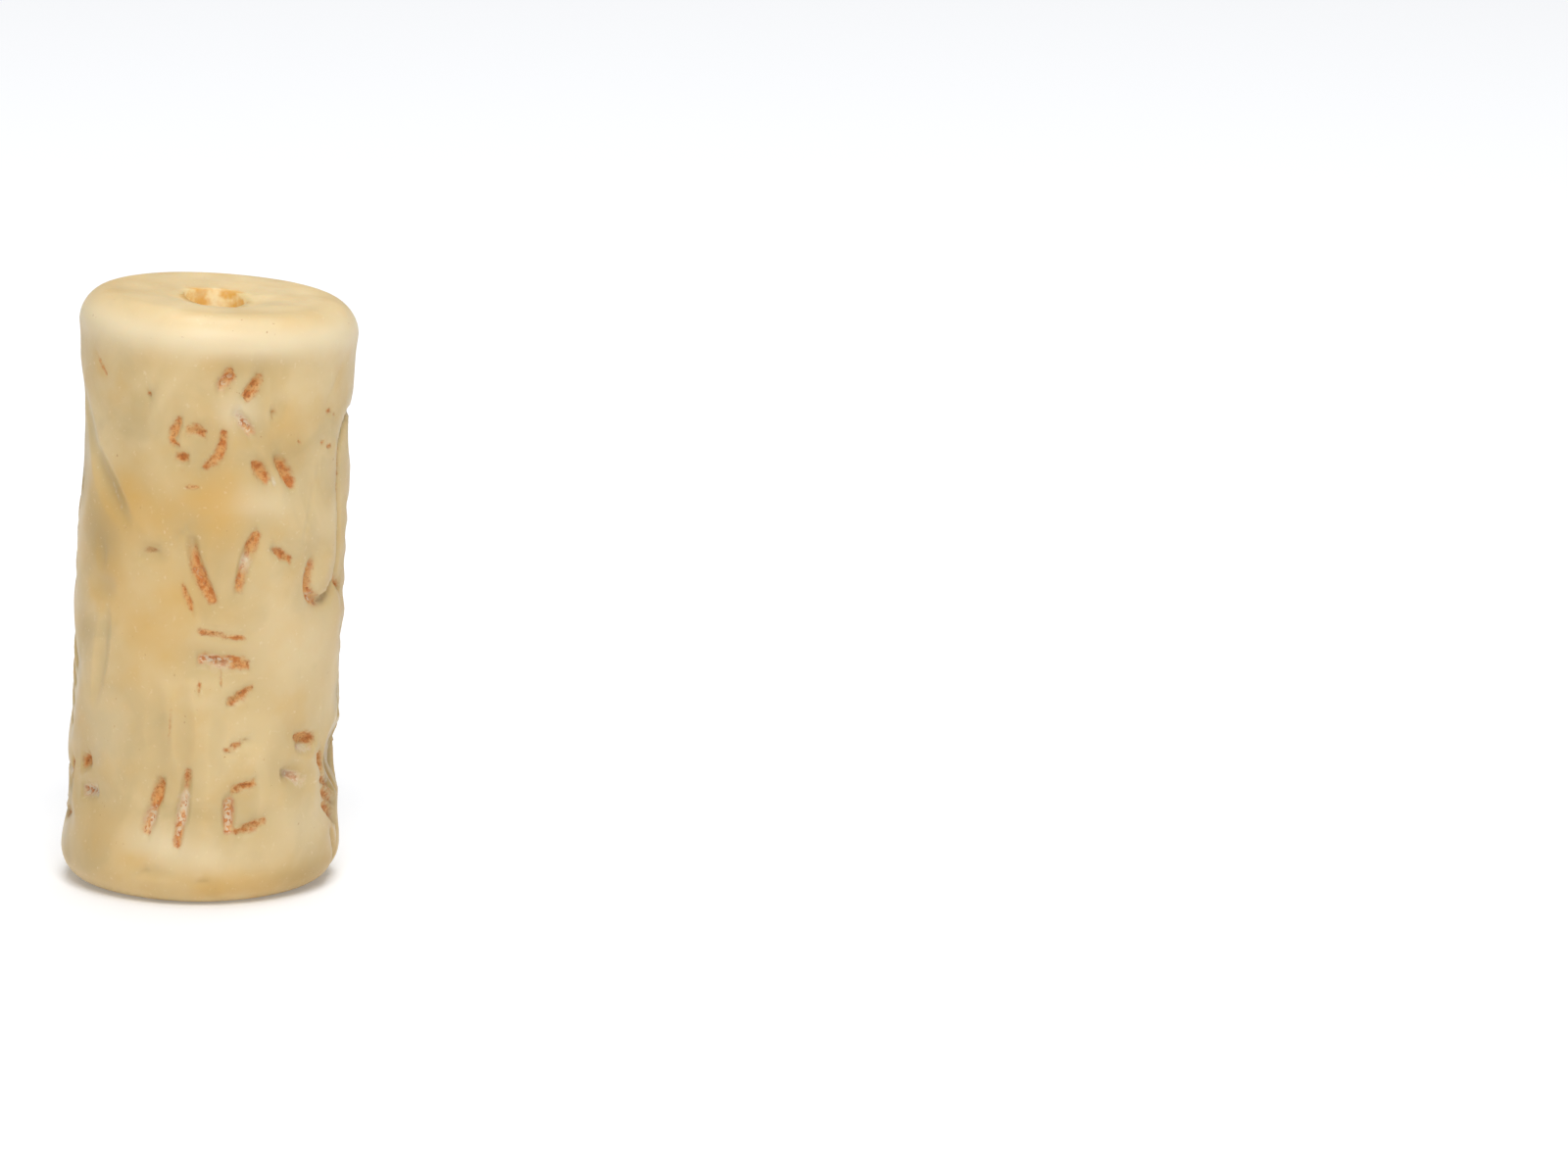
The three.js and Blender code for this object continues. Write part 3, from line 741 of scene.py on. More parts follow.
@dataclass
class Seal:
    """The seal as a fine mesh: the form, the carving, and masks for its deposit, stains, pale patches,
    painted shade and painted highlight.
    """

    stone: Stone = field(default_factory=Stone)
    contest: Contest = field(default_factory=Contest)
    round_steps: int = 352
    wall_cuts: int = 205
    edge_segments: int = 14
    cap_insets: int = 8
    bore_cuts: int = 15
    front_bias: float = 0.18
    carving_fade: float = 3.0
    unevenness: float = 0.07
    unevenness_fade: float = 2.0
    shoulder_step: float = 0.09
    # The pale band round the top shoulder is a painted highlight: its place and reach, as shares of the
    # height.
    shoulder_share: float = 0.962
    shoulder_reach: float = 0.028
    # The flat ends painted paler: painted light on the top face.
    flat_end_painted_light: float = 0.3
    lip_stain: float = 0.75
    lip_reach: float = 0.5
    band_top: float = 0.955
    band_rise: float = 0.045
    band_foot: float = 0.45
    band_fade: float = 0.45

    SWELLS = (Wave(0.4, 3, 0.21, 0.4), Wave(0.3, 5, -0.33, 1.9), Wave(0.3, 2, 0.62, 2.6))
    CHIPS = (Wave(0.1, 2, 0, 0.8), Wave(0.05, 5, 0, 0.3))

    STAINS = (
        Stain(5, 0.715, 2.4, 2.1, 0.62),
        Stain(-2, 0.66, 3.0, 2.0, 0.7),
        Stain(-22, 0.66, 2.8, 2.0, 0.4),
        Stain(-39, 0.7, 1.4, 1.2, 0.65),
        Stain(-55, 0.59, 2.4, 3.4, 0.95),
        Stain(-58, 0.895, 0.9, 0.8, 0.6),
        Stain(-16, 0.53, 2.2, 2.0, 0.6),
        Stain(-27, 0.46, 2.6, 2.6, 0.5),
        Stain(8, 0.5, 2.2, 1.4, 0.35),
        Stain(-4, 0.84, 2.0, 2.0, 0.35),
        Stain(7, 0.925, 1.8, 0.7, 0.6),
        Stain(22, 0.92, 1.0, 0.8, 0.5),
        Stain(-24, 0.92, 1.4, 0.9, 0.4),
        Stain(32, 0.815, 1.3, 1.8, 0.55),
        Stain(-27, 0.075, 1.1, 0.6, 0.7),
        Stain(-8, 0.035, 6.0, 1.0, 0.45),
        Stain(62, 0.9, 0.7, 1.4, 0.5),
        Stain(72, 0.1, 1.4, 2.0, 0.6),
        Stain(38, 0.035, 4.2, 1.0, 0.5),
        Stain(84, 0.19, 1.5, 2.4, 0.9),
        Stain(-70, 0.28, 1.6, 4.5, 0.35),
        Stain(-45, 0.12, 2.6, 2.0, 0.35),
        Stain(76, 0.5, 1.6, 4.0, 0.5),
        Stain(150, 0.45, 2.6, 3.2, 0.5),
        Stain(-160, 0.75, 2.8, 2.4, 0.55),
        Stain(120, 0.2, 2.2, 2.0, 0.4),
    )

    # Paler patches in the stone.
    PALE_PATCHES = (
        Stain(8, 0.845, 1.3, 1.0, 0.7),
        Stain(20, 0.69, 2.2, 1.0, 0.5),
        Stain(-18, 0.11, 2.4, 1.0, 0.6),
        Stain(2, 0.085, 2.6, 0.9, 0.45),
        Stain(40, 0.45, 3.4, 3.4, 0.35),
        Stain(48, 0.13, 2.4, 1.6, 0.35),
        Stain(-45, 0.3, 1.8, 2.6, 0.3),
        Stain(-140, 0.3, 3.0, 3.0, 0.4),
        Stain(170, 0.8, 3.0, 2.6, 0.4),
    )

    # Painted shade: soft patches that darken the stone where shade falls, such as the hollow between
    # arm and leg, the rounded foot, the recess and the right edge.
    SHADED_PATCHES = (
        Stain(-54, 0.6, 1.7, 1.9, 0.75),
        Stain(-66, 0.44, 1.2, 2.6, 0.4),
        Stain(-38, 0.8, 1.4, 2.6, 0.3),
        Stain(52, 0.03, 3.2, 1.4, 0.6),
        Stain(-72, 0.07, 2.4, 1.6, 0.35),
        Stain(84, 0.19, 2.4, 2.6, 0.8),
        Stain(79, 0.5, 0.9, 7.0, 0.35),
        Stain(35, 0.775, 0.9, 0.8, 0.4),
        Stain(14, 0.93, 2.2, 0.6, 0.3),
        Stain(-165, 0.4, 2.4, 3.0, 0.4),
        Stain(140, 0.75, 2.0, 3.0, 0.4),
    )

    def build(self) -> Object:
        """Makes the engraved mesh.

        Returns:
            The seal's object, at the origin.
        """
        obj = self.blank()
        self.shape(obj)
        return obj

    def select(self, obj: Object, kind: str, chosen: np.ndarray) -> None:
        """Selects parts of a mesh and nothing else.

        Args:
            obj: The mesh's object, in object mode.
            kind: "VERT", "EDGE" or "FACE".
            chosen: One true or false for each.
        """
        mesh = obj.data
        lists = {"VERT": mesh.vertices, "EDGE": mesh.edges, "FACE": mesh.polygons}
        for name, items in lists.items():
            marks = chosen if name == kind else np.zeros(len(items), bool)
            items.foreach_set("select", marks)
        bpy.context.tool_settings.mesh_select_mode = (
            kind == "VERT", kind == "EDGE", kind == "FACE",
        )

    def points(self, obj: Object) -> np.ndarray:
        """Reads a mesh's points.

        Args:
            obj: The mesh's object.

        Returns:
            The points, in metres.
        """
        flat = np.empty(len(obj.data.vertices) * 3)
        obj.data.vertices.foreach_get("co", flat)
        return flat.reshape(-1, 3)

    def edge_points(self, obj: Object) -> tuple[np.ndarray, np.ndarray]:
        """Reads both ends of each edge of a mesh.

        Args:
            obj: The mesh's object.

        Returns:
            The first ends and the second ends, in metres.
        """
        pairs = np.empty(len(obj.data.edges) * 2, int)
        obj.data.edges.foreach_get("vertices", pairs)
        ends = self.points(obj)[pairs.reshape(-1, 2)]
        return ends[:, 0], ends[:, 1]

    def blank(self) -> Object:
        """Turns the plain round: its ends rounded over, its wall ringed, its bore opened.

        Returns:
            The blank's object.
        """
        stone = self.stone
        bpy.ops.object.select_all(action="DESELECT")
        bpy.ops.mesh.primitive_cylinder_add(
            vertices=self.round_steps,
            radius=stone.waist_diameter / 2 * MM,
            depth=stone.height * MM,
            location=(0, 0, stone.height / 2 * MM),
        )
        obj = bpy.context.object
        obj.name = "engraved_stone"
        bpy.ops.object.transform_apply(location=True, rotation=True, scale=True)
        top = stone.height * MM
        a, b = self.edge_points(obj)
        self.select(obj, "EDGE", np.abs(a[:, 2] - b[:, 2]) < top / 2)
        bpy.ops.object.mode_set(mode="EDIT")
        bpy.ops.mesh.bevel(
            offset=stone.edge_radius * MM, segments=self.edge_segments, profile=0.5, affect="EDGES"
        )
        bpy.ops.object.mode_set(mode="OBJECT")
        a, b = self.edge_points(obj)
        self.select(obj, "EDGE", np.abs(a[:, 2] - b[:, 2]) > top / 2)
        bpy.ops.object.mode_set(mode="EDIT")
        bpy.ops.mesh.subdivide(number_cuts=self.wall_cuts)
        bpy.ops.object.mode_set(mode="OBJECT")
        self.open_caps(obj, top)
        return obj

    def open_caps(self, obj: Object, top: float) -> None:
        """Rings both flat ends down to the bore's mouths and joins the mouths by a wall.

        Args:
            obj: The blank's object.
            top: Its height in metres.
        """
        mouth = self.stone.mouth_radius * MM
        flat = self.stone.flat_radius * MM
        centres = np.empty(len(obj.data.polygons) * 3)
        obj.data.polygons.foreach_get("center", centres)
        centres = centres.reshape(-1, 3)
        near_axis = np.hypot(centres[:, 0], centres[:, 1]) < mouth / 2
        self.select(obj, "FACE", near_axis)
        bpy.ops.object.mode_set(mode="EDIT")
        for _ in range(self.cap_insets):
            bpy.ops.mesh.inset(thickness=(flat - mouth) / self.cap_insets, depth=0)
        bpy.ops.mesh.delete(type="FACE")
        bpy.ops.object.mode_set(mode="OBJECT")
        a, b = self.edge_points(obj)
        farther = np.maximum(np.hypot(*a.T[:2]), np.hypot(*b.T[:2]))
        self.select(obj, "EDGE", farther < mouth * (1 + SLACK))
        bpy.ops.object.mode_set(mode="EDIT")
        bpy.ops.mesh.bridge_edge_loops(number_cuts=self.bore_cuts)
        bpy.ops.mesh.select_all(action="SELECT")
        bpy.ops.mesh.normals_make_consistent(inside=False)
        bpy.ops.object.mode_set(mode="OBJECT")

    def shape(self, obj: Object) -> None:
        """Moves the blank's points to the worn, waisted, engraved and leaning form.

        Args:
            obj: The blank's object.
        """
        stone = self.stone
        plain = stone.waist_diameter / 2
        x, y, z = (self.points(obj) / MM).T
        turn = np.arctan2(x, -y)
        turn = turn - self.front_bias * np.sin(turn)
        blank = Blank(np.hypot(x, y), turn, np.clip(z / stone.height, 0, 1), stone)
        end = np.where(blank.upper, 1.0, -1.0)
        down = np.maximum(stone.edge_radius - z, z - stone.height + stone.edge_radius)
        rise = np.where(blank.on_wall, np.clip(down / stone.edge_radius, 0, 1), 1.0) * end
        level = np.sqrt(1 - rise**2)
        relief = self.relief(blank)
        depth = np.where(blank.on_wall, relief.depth(), 0.0)
        depth = depth * np.clip(level * self.carving_fade, 0, 1)
        depth = depth + self.shoulder_step * self.band(blank.share) * blank.on_wall
        swell = sum(wave.at(turn, blank.share * stone.height) for wave in self.SWELLS)
        swell = swell * self.unevenness * np.clip(level * self.unevenness_fade, 0, 1)
        out = np.where(blank.in_bore, 0.0, swell - depth)
        waisted = np.where(blank.on_wall, stone.wall_radius(blank.share) - plain, 0.0)
        radius = blank.radius + waisted + out * level
        carved = np.stack([radius * np.sin(turn), -radius * np.cos(turn), z + out * rise], axis=1)
        settled = stone.settle(self.bore_and_face(carved, blank)) * MM
        obj.data.vertices.foreach_set("co", settled.ravel())
        obj.data.shade_smooth()
        self.mask(obj, blank, relief, depth)
        obj.data.update()

    def relief(self, blank: Blank) -> Relief:
        """Engraves the contest at the blank's points.

        Args:
            blank: Where the points are.

        Returns:
            The relief.
        """
        relief = Relief(self.stone, np.degrees(blank.turn), blank.share)
        for item in self.contest.carving():
            if isinstance(item, Hollow):
                relief.scoop(item)
            else:
                relief.engrave(item)
        return relief

    def mask(self, obj: Object, blank: Blank, relief: Relief, depth: np.ndarray) -> None:
        """Stores what the finish needs to know at each point, from 0 to 1.

        Args:
            obj: The seal's object.
            blank: Where its points were.
            relief: The carving.
            depth: How deep each point was sunk.
        """
        wall = blank.on_wall.astype(float)
        off_mouth = (blank.radius - self.stone.mouth_radius) / self.lip_reach
        lip = self.lip_stain * np.exp(-(off_mouth**2)) * ~blank.on_wall
        off_shoulder = (blank.share - self.shoulder_share) / self.shoulder_reach
        # The shoulder's pale band is a painted highlight, joined with the paler patches.
        pale = np.maximum(np.exp(-(off_shoulder**2)), self.patches(relief, self.PALE_PATCHES))
        masks = {
            "rust": relief.rust * wall,
            "chalk": relief.chalk * wall,
            # painted shade: how far the hollows are darkened, by the carving's depth
            "sunk": np.clip(depth / SUNK, 0, 1),
            "bore": np.where(blank.in_bore, 1.0, lip),
            "warm": self.patches(relief, self.STAINS) * wall,
            # painted shade: the darkening patches
            "painted_shade": self.patches(relief, self.SHADED_PATCHES) * wall,
            # paler patches, the painted highlight on the shoulder and painted light on the flat ends
            "pale_and_highlight": np.where(blank.on_wall, pale, self.flat_end_painted_light),
        }
        for name, values in masks.items():
            self.attribute(obj, name, values)

    def patches(self, relief: Relief, stains: tuple[Stain, ...]) -> np.ndarray:
        """How strong soft patches are at each point, from 0 to 1."""
        total = sum(stain.strength * np.exp(-(relief.oval(stain) ** 2)) for stain in stains)
        return np.clip(total, 0, 1)

    def band(self, share: np.ndarray) -> np.ndarray:
        """How far the engraved band is worked back from the end's shoulder.

        Args:
            share: Shares of the height.

        Returns:
            The band's strength at each, from 0 to 1.
        """
        below = np.clip((self.band_top - share) / self.band_rise, 0, 1)
        fading = np.clip((share - self.band_foot) / self.band_fade, 0, 1)
        return below**2 * (3 - 2 * below) * fading

    def bore_and_face(self, points: np.ndarray, blank: Blank) -> np.ndarray:
        """Shapes the bore, its worn mouths and the flat ends.

        Args:
            points: The carved points, in millimetres.
            blank: Where they were on the blank.

        Returns:
            The moved points.
        """
        stone = self.stone
        x, y, z = points.T
        east, south = np.sin(blank.turn), -np.cos(blank.turn)
        off_mouth = blank.radius - stone.mouth_radius
        reach = np.clip(1 - off_mouth / (stone.flat_radius - stone.mouth_radius), 0, 1)
        flat = (~blank.in_bore) & (reach > 0)
        pull = np.where(blank.in_bore, 1.0, np.where(flat, reach**2, 0.0))
        flare = np.exp(-np.clip(np.minimum(z, stone.height - z), 0, None) / stone.mouth_depth)
        chip = sum(wave.at(blank.turn) for wave in self.CHIPS) * blank.upper
        bore_radius = stone.bore_diameter / 2 + (stone.mouth_flare + chip) * flare
        chip_out = chip * pull * flat
        x = np.where(blank.in_bore, bore_radius * east, x) + chip_out * east
        y = np.where(blank.in_bore, bore_radius * south, y) + chip_out * south
        x = x + stone.mouth_aside[0] * pull * blank.share
        y = y + stone.mouth_aside[1] * pull * blank.share
        front = np.clip(np.cos(blank.turn - stone.front_wear_turn), 0, 1)
        worn = (stone.mouth_wear + stone.front_wear * front) * blank.upper
        dish = worn * np.exp(-((off_mouth / stone.wear_reach) ** 2)) * flat
        rim = blank.in_bore & (blank.share > blank.TOP_RIM)
        z = z - dish - worn * rim
        return np.stack([x, y, z], axis=1)

    def attribute(self, obj: Object, name: str, values: np.ndarray) -> None:
        """Stores one number at each point of the mesh."""
        layer = obj.data.attributes.new(name, "FLOAT", "POINT")
        layer.data.foreach_set("value", values.astype(np.float32))


@dataclass(frozen=True)
class Cloud:
    """Soft patches of noise: their size in millimetres, and where they start and are full."""

    size: float
    detail: float
    start: float
    full: float
    most: float = 1.0
    least: float = 0.0
    distortion: float = 0.0


class NodeBench:
    """Adds and joins shader nodes in few words."""

    MIX_SHARE, MIX_FIRST, MIX_SECOND, MIX_RESULT = 0, 6, 7, 2

    def __init__(self, name: str) -> None:
        """Starts a material.

        Args:
            name: The material's name.
        """
        self.material = bpy.data.materials.new(name)
        self.material.use_nodes = True
        self.tree = self.material.node_tree
        self.shader = self.tree.nodes["Principled BSDF"]

    def add(
        self, kind: str, inputs: dict[str | int, Value] | None = None, **settings: str
    ) -> bpy.types.Node:
        """Adds a node.

        Args:
            kind: The node's type.
            inputs: A value or a socket for each input by name or number.
            **settings: The node's own settings.

        Returns:
            The node.
        """
        node = self.tree.nodes.new(kind)
        for name, value in settings.items():
            setattr(node, name, value)
        for name, value in (inputs or {}).items():
            self.feed(node.inputs[name], value)
        return node

    def feed(self, socket: Socket, value: Value) -> None:
        """Gives an input a value, or joins a socket to it.

        Args:
            socket: The input.
            value: The value or socket.
        """
        if isinstance(value, Socket):
            self.tree.links.new(value, socket)
        else:
            socket.default_value = value

    def finish(self, **values: Value) -> None:
        """Sets or joins the shader's inputs, named with _ for a space."""
        for name, value in values.items():
            self.feed(self.shader.inputs[name.replace("_", " ")], value)

    def number(self, name: str) -> Socket:
        """A number stored on the mesh."""
        return self.add("ShaderNodeAttribute", attribute_name=name).outputs["Fac"]

    def math(self, operation: str, a: Value, b: Value) -> Socket:
        """One sum of two values."""
        return self.add("ShaderNodeMath", {0: a, 1: b}, operation=operation).outputs[0]

    def times(self, a: Value, b: Value) -> Socket:
        """Two values multiplied."""
        return self.math("MULTIPLY", a, b)

    def ramp(
        self, value: Value, low: float, high: float, to_low: float = 0.0, to_high: float = 1.0
    ) -> Socket:
        """A smooth step of a value from one range to another."""
        limits = {0: value, 1: low, 2: high, 3: to_low, 4: to_high}
        return self.add("ShaderNodeMapRange", limits, interpolation_type="SMOOTHSTEP").outputs[0]

    def coat(self, under: Value, share: Value, over: Value) -> Socket:
        """Lays one colour over another.

        Args:
            under: The colour below.
            share: How far it is covered, from 0 to 1.
            over: The colour above.

        Returns:
            The mixed colour.
        """
        node = self.add("ShaderNodeMix", data_type="RGBA", blend_type="MIX")
        self.feed(node.inputs[self.MIX_SHARE], share)
        self.feed(node.inputs[self.MIX_FIRST], under)
        self.feed(node.inputs[self.MIX_SECOND], over)
        return node.outputs[self.MIX_RESULT]

    def noise(self, place: Socket, size: float, detail: float, **settings: float) -> Socket:
        """A soft noise.

        Args:
            place: The coordinates that it follows.
            size: The size of its clouds, in millimetres.
            detail: Its levels of detail.
            **settings: Other inputs of the node by name.

        Returns:
            The noise, around 0.5.
        """
        inputs = {"Vector": place, "Scale": 1 / (size * MM), "Detail": detail, **settings}
        return self.add("ShaderNodeTexNoise", inputs).outputs["Fac"]

    def cloud(self, place: Socket, cloud: Cloud) -> Socket:
        """Patches of noise, from the cloud's least to its most."""
        noise = self.noise(place, cloud.size, cloud.detail, Distortion=cloud.distortion)
        return self.ramp(noise, cloud.start, cloud.full, cloud.least, cloud.most)


def colour(code: str) -> tuple[float, float, float, float]:
    """A shader colour.

    Args:
        code: Six hexadecimal digits, as a picture shows the colour.

    Returns:
        Its linear red, green and blue, and 1.
    """
    parts = [int(code[i : i + 2], 16) / 255 for i in (0, 2, 4)]
    linear = [c / 12.92 if c <= 0.04045 else ((c + 0.055) / 1.055) ** 2.4 for c in parts]
    return (*linear, 1.0)


@dataclass(frozen=True)
class StoneFinish:
    """Waxy cream stone, stained amber, with earth and crust in its cuts, painted shade in its hollows
    and a painted highlight on its shoulder.
    """

    cream: str = "d4b883"
    pale: str = "e3ca98"
    amber: str = "d6aa5c"
    # the pale tone of patches and specks, and the colour of the painted highlight
    pale_and_highlight: str = "f0dfba"
    # drab is a grey tone in the stone's clouds, and also the painted shade of the hollows
    drab: str = "bca677"
    # the darker tone of the painted shade patches
    shade_tone: str = "a38a58"
    rust_dark: str = "8a4622"
    rust: str = "cc7c3c"
    rust_light: str = "e0a664"
    chalk: str = "ecdfc6"
    bore: str = "e8cf98"
    bore_deep: str = "d9a450"
    fleck: str = "a86a3a"

    paleness: Cloud = Cloud(9, 3, 0.35, 0.68, distortion=0.6)
    greying: Cloud = Cloud(4.1, 4, 0.45, 0.7, 0.42, distortion=0.8)
    mottle: Cloud = Cloud(2.4, 4, 0.45, 0.75, 0.36)
    warmth: Cloud = Cloud(3.2, 3, 0.25, 0.65, least=0.35)
    specks: Cloud = Cloud(0.3, 2, 0.62, 0.8, 0.3)
    flecks: Cloud = Cloud(0.26, 1, 0.75, 0.8, 0.5)
    fleck_spread: Cloud = Cloud(3.1, 1, 0.52, 0.62)
    bore_cover: Cloud = Cloud(0.7, 3, 0.3, 0.6, least=0.6)
    bore_stain: Cloud = Cloud(1.1, 3, 0.42, 0.62)
    broken: Cloud = Cloud(0.26, 2, 0.46, 0.56, 0.9)
    polish: Cloud = Cloud(2.2, 3, 0.3, 0.7, 0.47, 0.32)

    # how far the hollows are darkened towards drab: painted shade
    hollow_shade_share: float = 0.42
    # how far the painted shade patches darken the stone
    painted_shade_share: float = 0.7
    # how far the paler patches and the painted highlight lighten the stone
    pale_and_highlight_share: float = 0.8
    chalk_share: float = 0.75
    rust_share: float = 0.93
    crust_roughness: float = 0.3
    grain_size: float = 0.17
    coarse_size: float = 0.42

    def material(self) -> bpy.types.Material:
        """Makes the material.

        Returns:
            The material.
        """
        bench = NodeBench("worn_stone")
        place = bench.add("ShaderNodeTexCoord").outputs["Object"]
        tint = self.stone_colour(bench, place)
        tint, crust = self.deposit(bench, place, tint)
        gritty = bench.times(crust, self.crust_roughness)
        roughness = bench.math("ADD", bench.cloud(place, self.polish), gritty)
        bench.finish(
            Base_Color=tint,
            Roughness=roughness,
            Specular_IOR_Level=0.28,
            Subsurface_Weight=0.3,
            Subsurface_Radius=(1.0, 0.62, 0.34),
            Subsurface_Scale=0.4 * MM,
            Normal=self.bump(bench, place, crust),
        )
        return bench.material

    def stone_colour(self, bench: NodeBench, place: Socket) -> Socket:
        """Mixes the stone's own clouds, stains, pale patches and flecks, with the painted shade of the
        hollows and of shaded patches, and the painted highlight on the shoulder and the flat ends.

        Args:
            bench: The bench.
            place: Object coordinates.

        Returns:
            The stone's colour.
        """
        tint = bench.coat(colour(self.cream), bench.cloud(place, self.paleness), colour(self.pale))
        tint = bench.coat(tint, bench.cloud(place, self.greying), colour(self.drab))
        tint = bench.coat(tint, bench.cloud(place, self.mottle), colour(self.amber))
        warm = bench.times(bench.number("warm"), bench.cloud(place, self.warmth))
        tint = bench.coat(tint, warm, colour(self.amber))
        # painted shade: the stone darkened towards drab in the hollows, by their depth
        tint = bench.coat(tint, bench.times(bench.number("sunk"), self.hollow_shade_share), colour(self.drab))
        # painted shade: the stone darkened in the shaded patches
        tint = bench.coat(tint, bench.times(bench.number("painted_shade"), self.painted_shade_share), colour(self.shade_tone))
        # paler patches, with the painted highlight on the shoulder and painted light on the flat ends
        pale_and_highlight = bench.times(bench.number("pale_and_highlight"), self.pale_and_highlight_share)
        tint = bench.coat(tint, pale_and_highlight, colour(self.pale_and_highlight))
        tint = bench.coat(tint, bench.cloud(place, self.specks), colour(self.pale_and_highlight))
        flecks = bench.times(bench.cloud(place, self.flecks), bench.cloud(place, self.fleck_spread))
        tint = bench.coat(tint, flecks, colour(self.fleck))
        bore = bench.times(bench.number("bore"), bench.cloud(place, self.bore_cover))
        inside = bench.cloud(place, self.bore_stain)
        return bench.coat(tint, bore, bench.coat(colour(self.bore), inside, colour(self.bore_deep)))

    def deposit(self, bench: NodeBench, place: Socket, tint: Socket) -> tuple[Socket, Socket]:
        """Lays earth and white crust in the cuts.

        Args:
            bench: The bench.
            place: Object coordinates.
            tint: The stone's colour.

        Returns:
            The colour with the deposit, and the deposit's mask.
        """
        grain = bench.noise(place, self.grain_size, 3, Roughness=0.65)
        coarse = bench.noise(place, self.coarse_size, 2)
        fine_edge = bench.times(bench.math("SUBTRACT", grain, 0.5), 0.6)
        broad_edge = bench.times(bench.math("SUBTRACT", coarse, 0.5), 0.55)
        rough_edge = bench.math("ADD", fine_edge, broad_edge)
        chalk = self.lying(bench, "chalk", rough_edge)
        tint = bench.coat(tint, bench.times(chalk, self.chalk_share), colour(self.chalk))
        bare = bench.math("SUBTRACT", 1.0, bench.times(chalk, bench.cloud(place, self.broken)))
        rust = bench.times(self.lying(bench, "rust", rough_edge), bare)
        earth = bench.coat(colour(self.rust_light), bench.ramp(coarse, 0.4, 0.62), colour(self.rust))
        earth = bench.coat(earth, bench.ramp(grain, 0.46, 0.74, 0.0, 0.62), colour(self.rust_dark))
        tint = bench.coat(tint, bench.times(rust, self.rust_share), earth)
        return tint, bench.math("MAXIMUM", rust, chalk)

    def lying(self, bench: NodeBench, name: str, rough_edge: Socket) -> Socket:
        """Works out where a deposit lies, with a rough edge.

        Args:
            bench: The bench.
            name: The mesh's number for the deposit.
            rough_edge: The roughness, around 0.

        Returns:
            The mask, from 0 to 1.
        """
        amount = bench.number(name)
        near = bench.ramp(amount, 0.0, 0.3)
        return bench.ramp(bench.math("ADD", amount, bench.times(rough_edge, near)), 0.2, 0.84)

    def bump(self, bench: NodeBench, place: Socket, crust: Socket) -> Socket:
        """Roughens the polish with fine wear, and the deposit with grit.

        Args:
            bench: The bench.
            place: Object coordinates.
            crust: The deposit's mask.

        Returns:
            The surface's direction.
        """
        wear = {"Strength": 0.12, "Distance": 0.05 * MM, "Height": bench.noise(place, 0.9, 4)}
        worn = bench.add("ShaderNodeBump", wear).outputs[0]
        height = bench.times(bench.noise(place, 0.14, 3), crust)
        grit = {"Strength": 0.6, "Distance": 0.06 * MM, "Height": height, "Normal": worn}
        return bench.add("ShaderNodeBump", grit).outputs[0]


@dataclass(frozen=True)
class Softbox:
    """A square lamp that faces the seal: its place and side in metres, its power in watts."""

    name: str
    place: tuple[float, float, float]
    side: float
    power: float


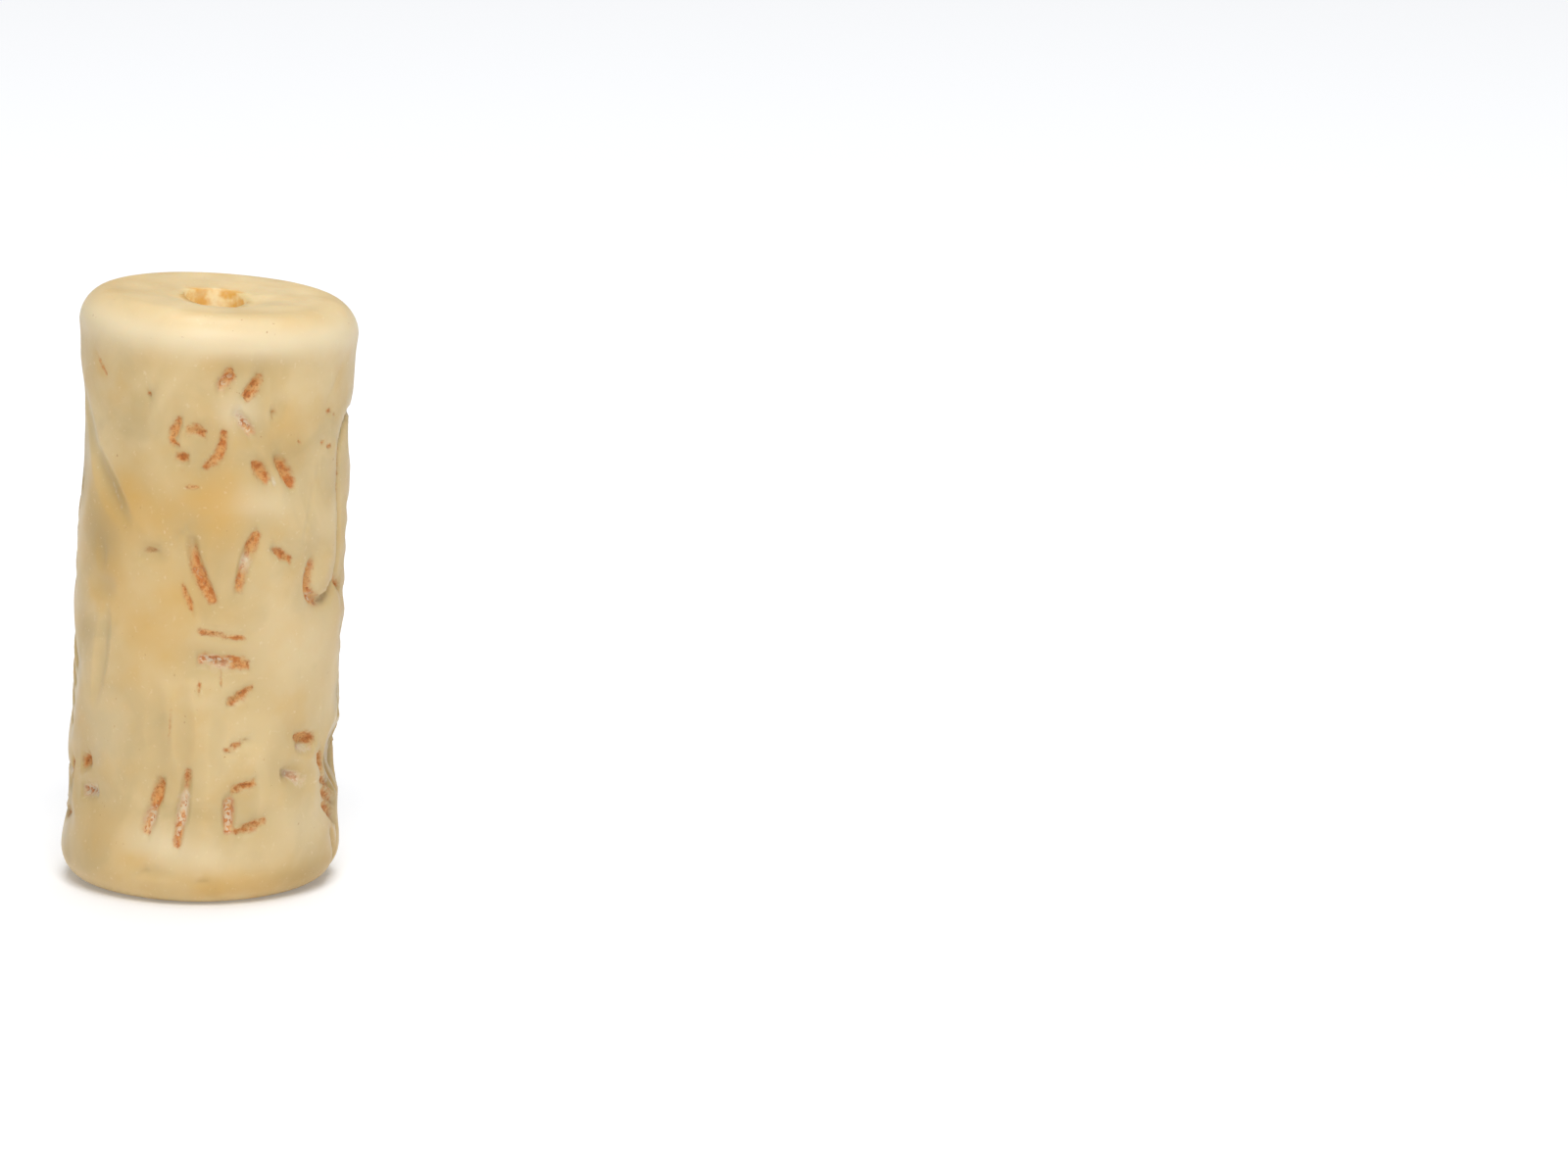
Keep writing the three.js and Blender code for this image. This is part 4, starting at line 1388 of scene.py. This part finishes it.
@dataclass
class Studio:
    """The plain pale floor, the soft lights and the camera."""

    image_width: int = 1600
    image_height: int = 1200
    focal_px: float = 9500.0
    distance: float = 0.548
    elevation: float = math.radians(12.6)
    roll: float = math.radians(0.2)
    seal_px: tuple[float, float] = (214.3, 597.5)
    seal_middle: float = 0.0175
    floor_size: float = 4.0
    floor_colour: tuple[float, float, float, float] = (0.84, 0.85, 0.87, 1)
    floor_glow: float = 0.17
    surround: float = 0.2
    softboxes: tuple[Softbox, ...] = (
        Softbox("overhead", (0.05, 0.15, 0.8), 0.5, 3.5),
        Softbox("key", (0.02, -0.6, 0.85), 0.55, 7.2),
    )

    def build(self) -> None:
        """Sets up the whole studio."""
        self.floor()
        for softbox in self.softboxes:
            self.hang(softbox)
        self.air()
        self.camera()

    def floor(self) -> None:
        """Lays the pale floor that the seal stands on."""
        bpy.ops.object.select_all(action="DESELECT")
        bpy.ops.mesh.primitive_plane_add(size=self.floor_size, location=(0, 0, 0))
        floor = bpy.context.object
        floor.name = "floor"
        bench = NodeBench("pale_floor")
        bench.finish(
            Base_Color=self.floor_colour,
            Roughness=0.9,
            Emission_Color=(1, 1, 1, 1),
            Emission_Strength=self.floor_glow,
            Specular_IOR_Level=0.1,
        )
        floor.data.materials.append(bench.material)

    def hang(self, softbox: Softbox) -> None:
        """Hangs a softbox.

        Args:
            softbox: The softbox.
        """
        data = bpy.data.lights.new(softbox.name, "AREA")
        data.shape = "SQUARE"
        data.size = softbox.side
        data.energy = softbox.power
        lamp = bpy.data.objects.new(softbox.name, data)
        lamp.location = softbox.place
        aim = Vector((0, 0, self.seal_middle)) - lamp.location
        lamp.rotation_euler = aim.to_track_quat("-Z", "Y").to_euler()
        bpy.context.scene.collection.objects.link(lamp)

    def air(self) -> None:
        """Sets the even surround."""
        world = bpy.data.worlds.new("surround")
        world.use_nodes = True
        background = world.node_tree.nodes["Background"]
        background.inputs["Color"].default_value = (1, 1, 1, 1)
        background.inputs["Strength"].default_value = self.surround
        bpy.context.scene.world = world
        bpy.context.scene.view_settings.view_transform = "Standard"

    def camera(self) -> None:
        """Sets the camera at the photograph's viewing angle, with the seal where it stands in it."""
        data = bpy.data.cameras.new("camera")
        data.sensor_fit = "HORIZONTAL"
        data.angle = 2 * math.atan(self.image_width / 2 / self.focal_px)
        data.clip_start = 0.01
        data.clip_end = 20
        camera = bpy.data.objects.new("camera", data)
        middle = Vector((0, 0, self.seal_middle))
        back = Vector((0, -math.cos(self.elevation), math.sin(self.elevation)))
        upright = Matrix.Rotation(math.pi / 2 - self.elevation, 4, "X")
        rolled = upright @ Matrix.Rotation(self.roll, 4, "Z")
        across = (self.image_width / 2 - self.seal_px[0]) / self.focal_px
        down = (self.seal_px[1] - self.image_height / 2) / self.focal_px
        panned = rolled @ Matrix.Rotation(-math.atan(across), 4, "Y")
        aimed = panned @ Matrix.Rotation(math.atan(down), 4, "X")
        camera.matrix_world = Matrix.Translation(middle + back * self.distance) @ aimed
        bpy.context.scene.collection.objects.link(camera)
        bpy.context.scene.camera = camera


def main() -> None:
    """Builds the studio and the seal, and dresses it."""
    logging.basicConfig(level=logging.INFO, format="%(name)s: %(message)s")
    Studio().build()
    seal = Seal().build()
    seal.data.materials.append(StoneFinish().material())
    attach(seal, "root")
    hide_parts(NODE)
    seal.data.calc_loop_triangles()
    log.info("engraved stone: %d triangles", len(seal.data.loop_triangles))


if __name__ == "__main__":
    main()
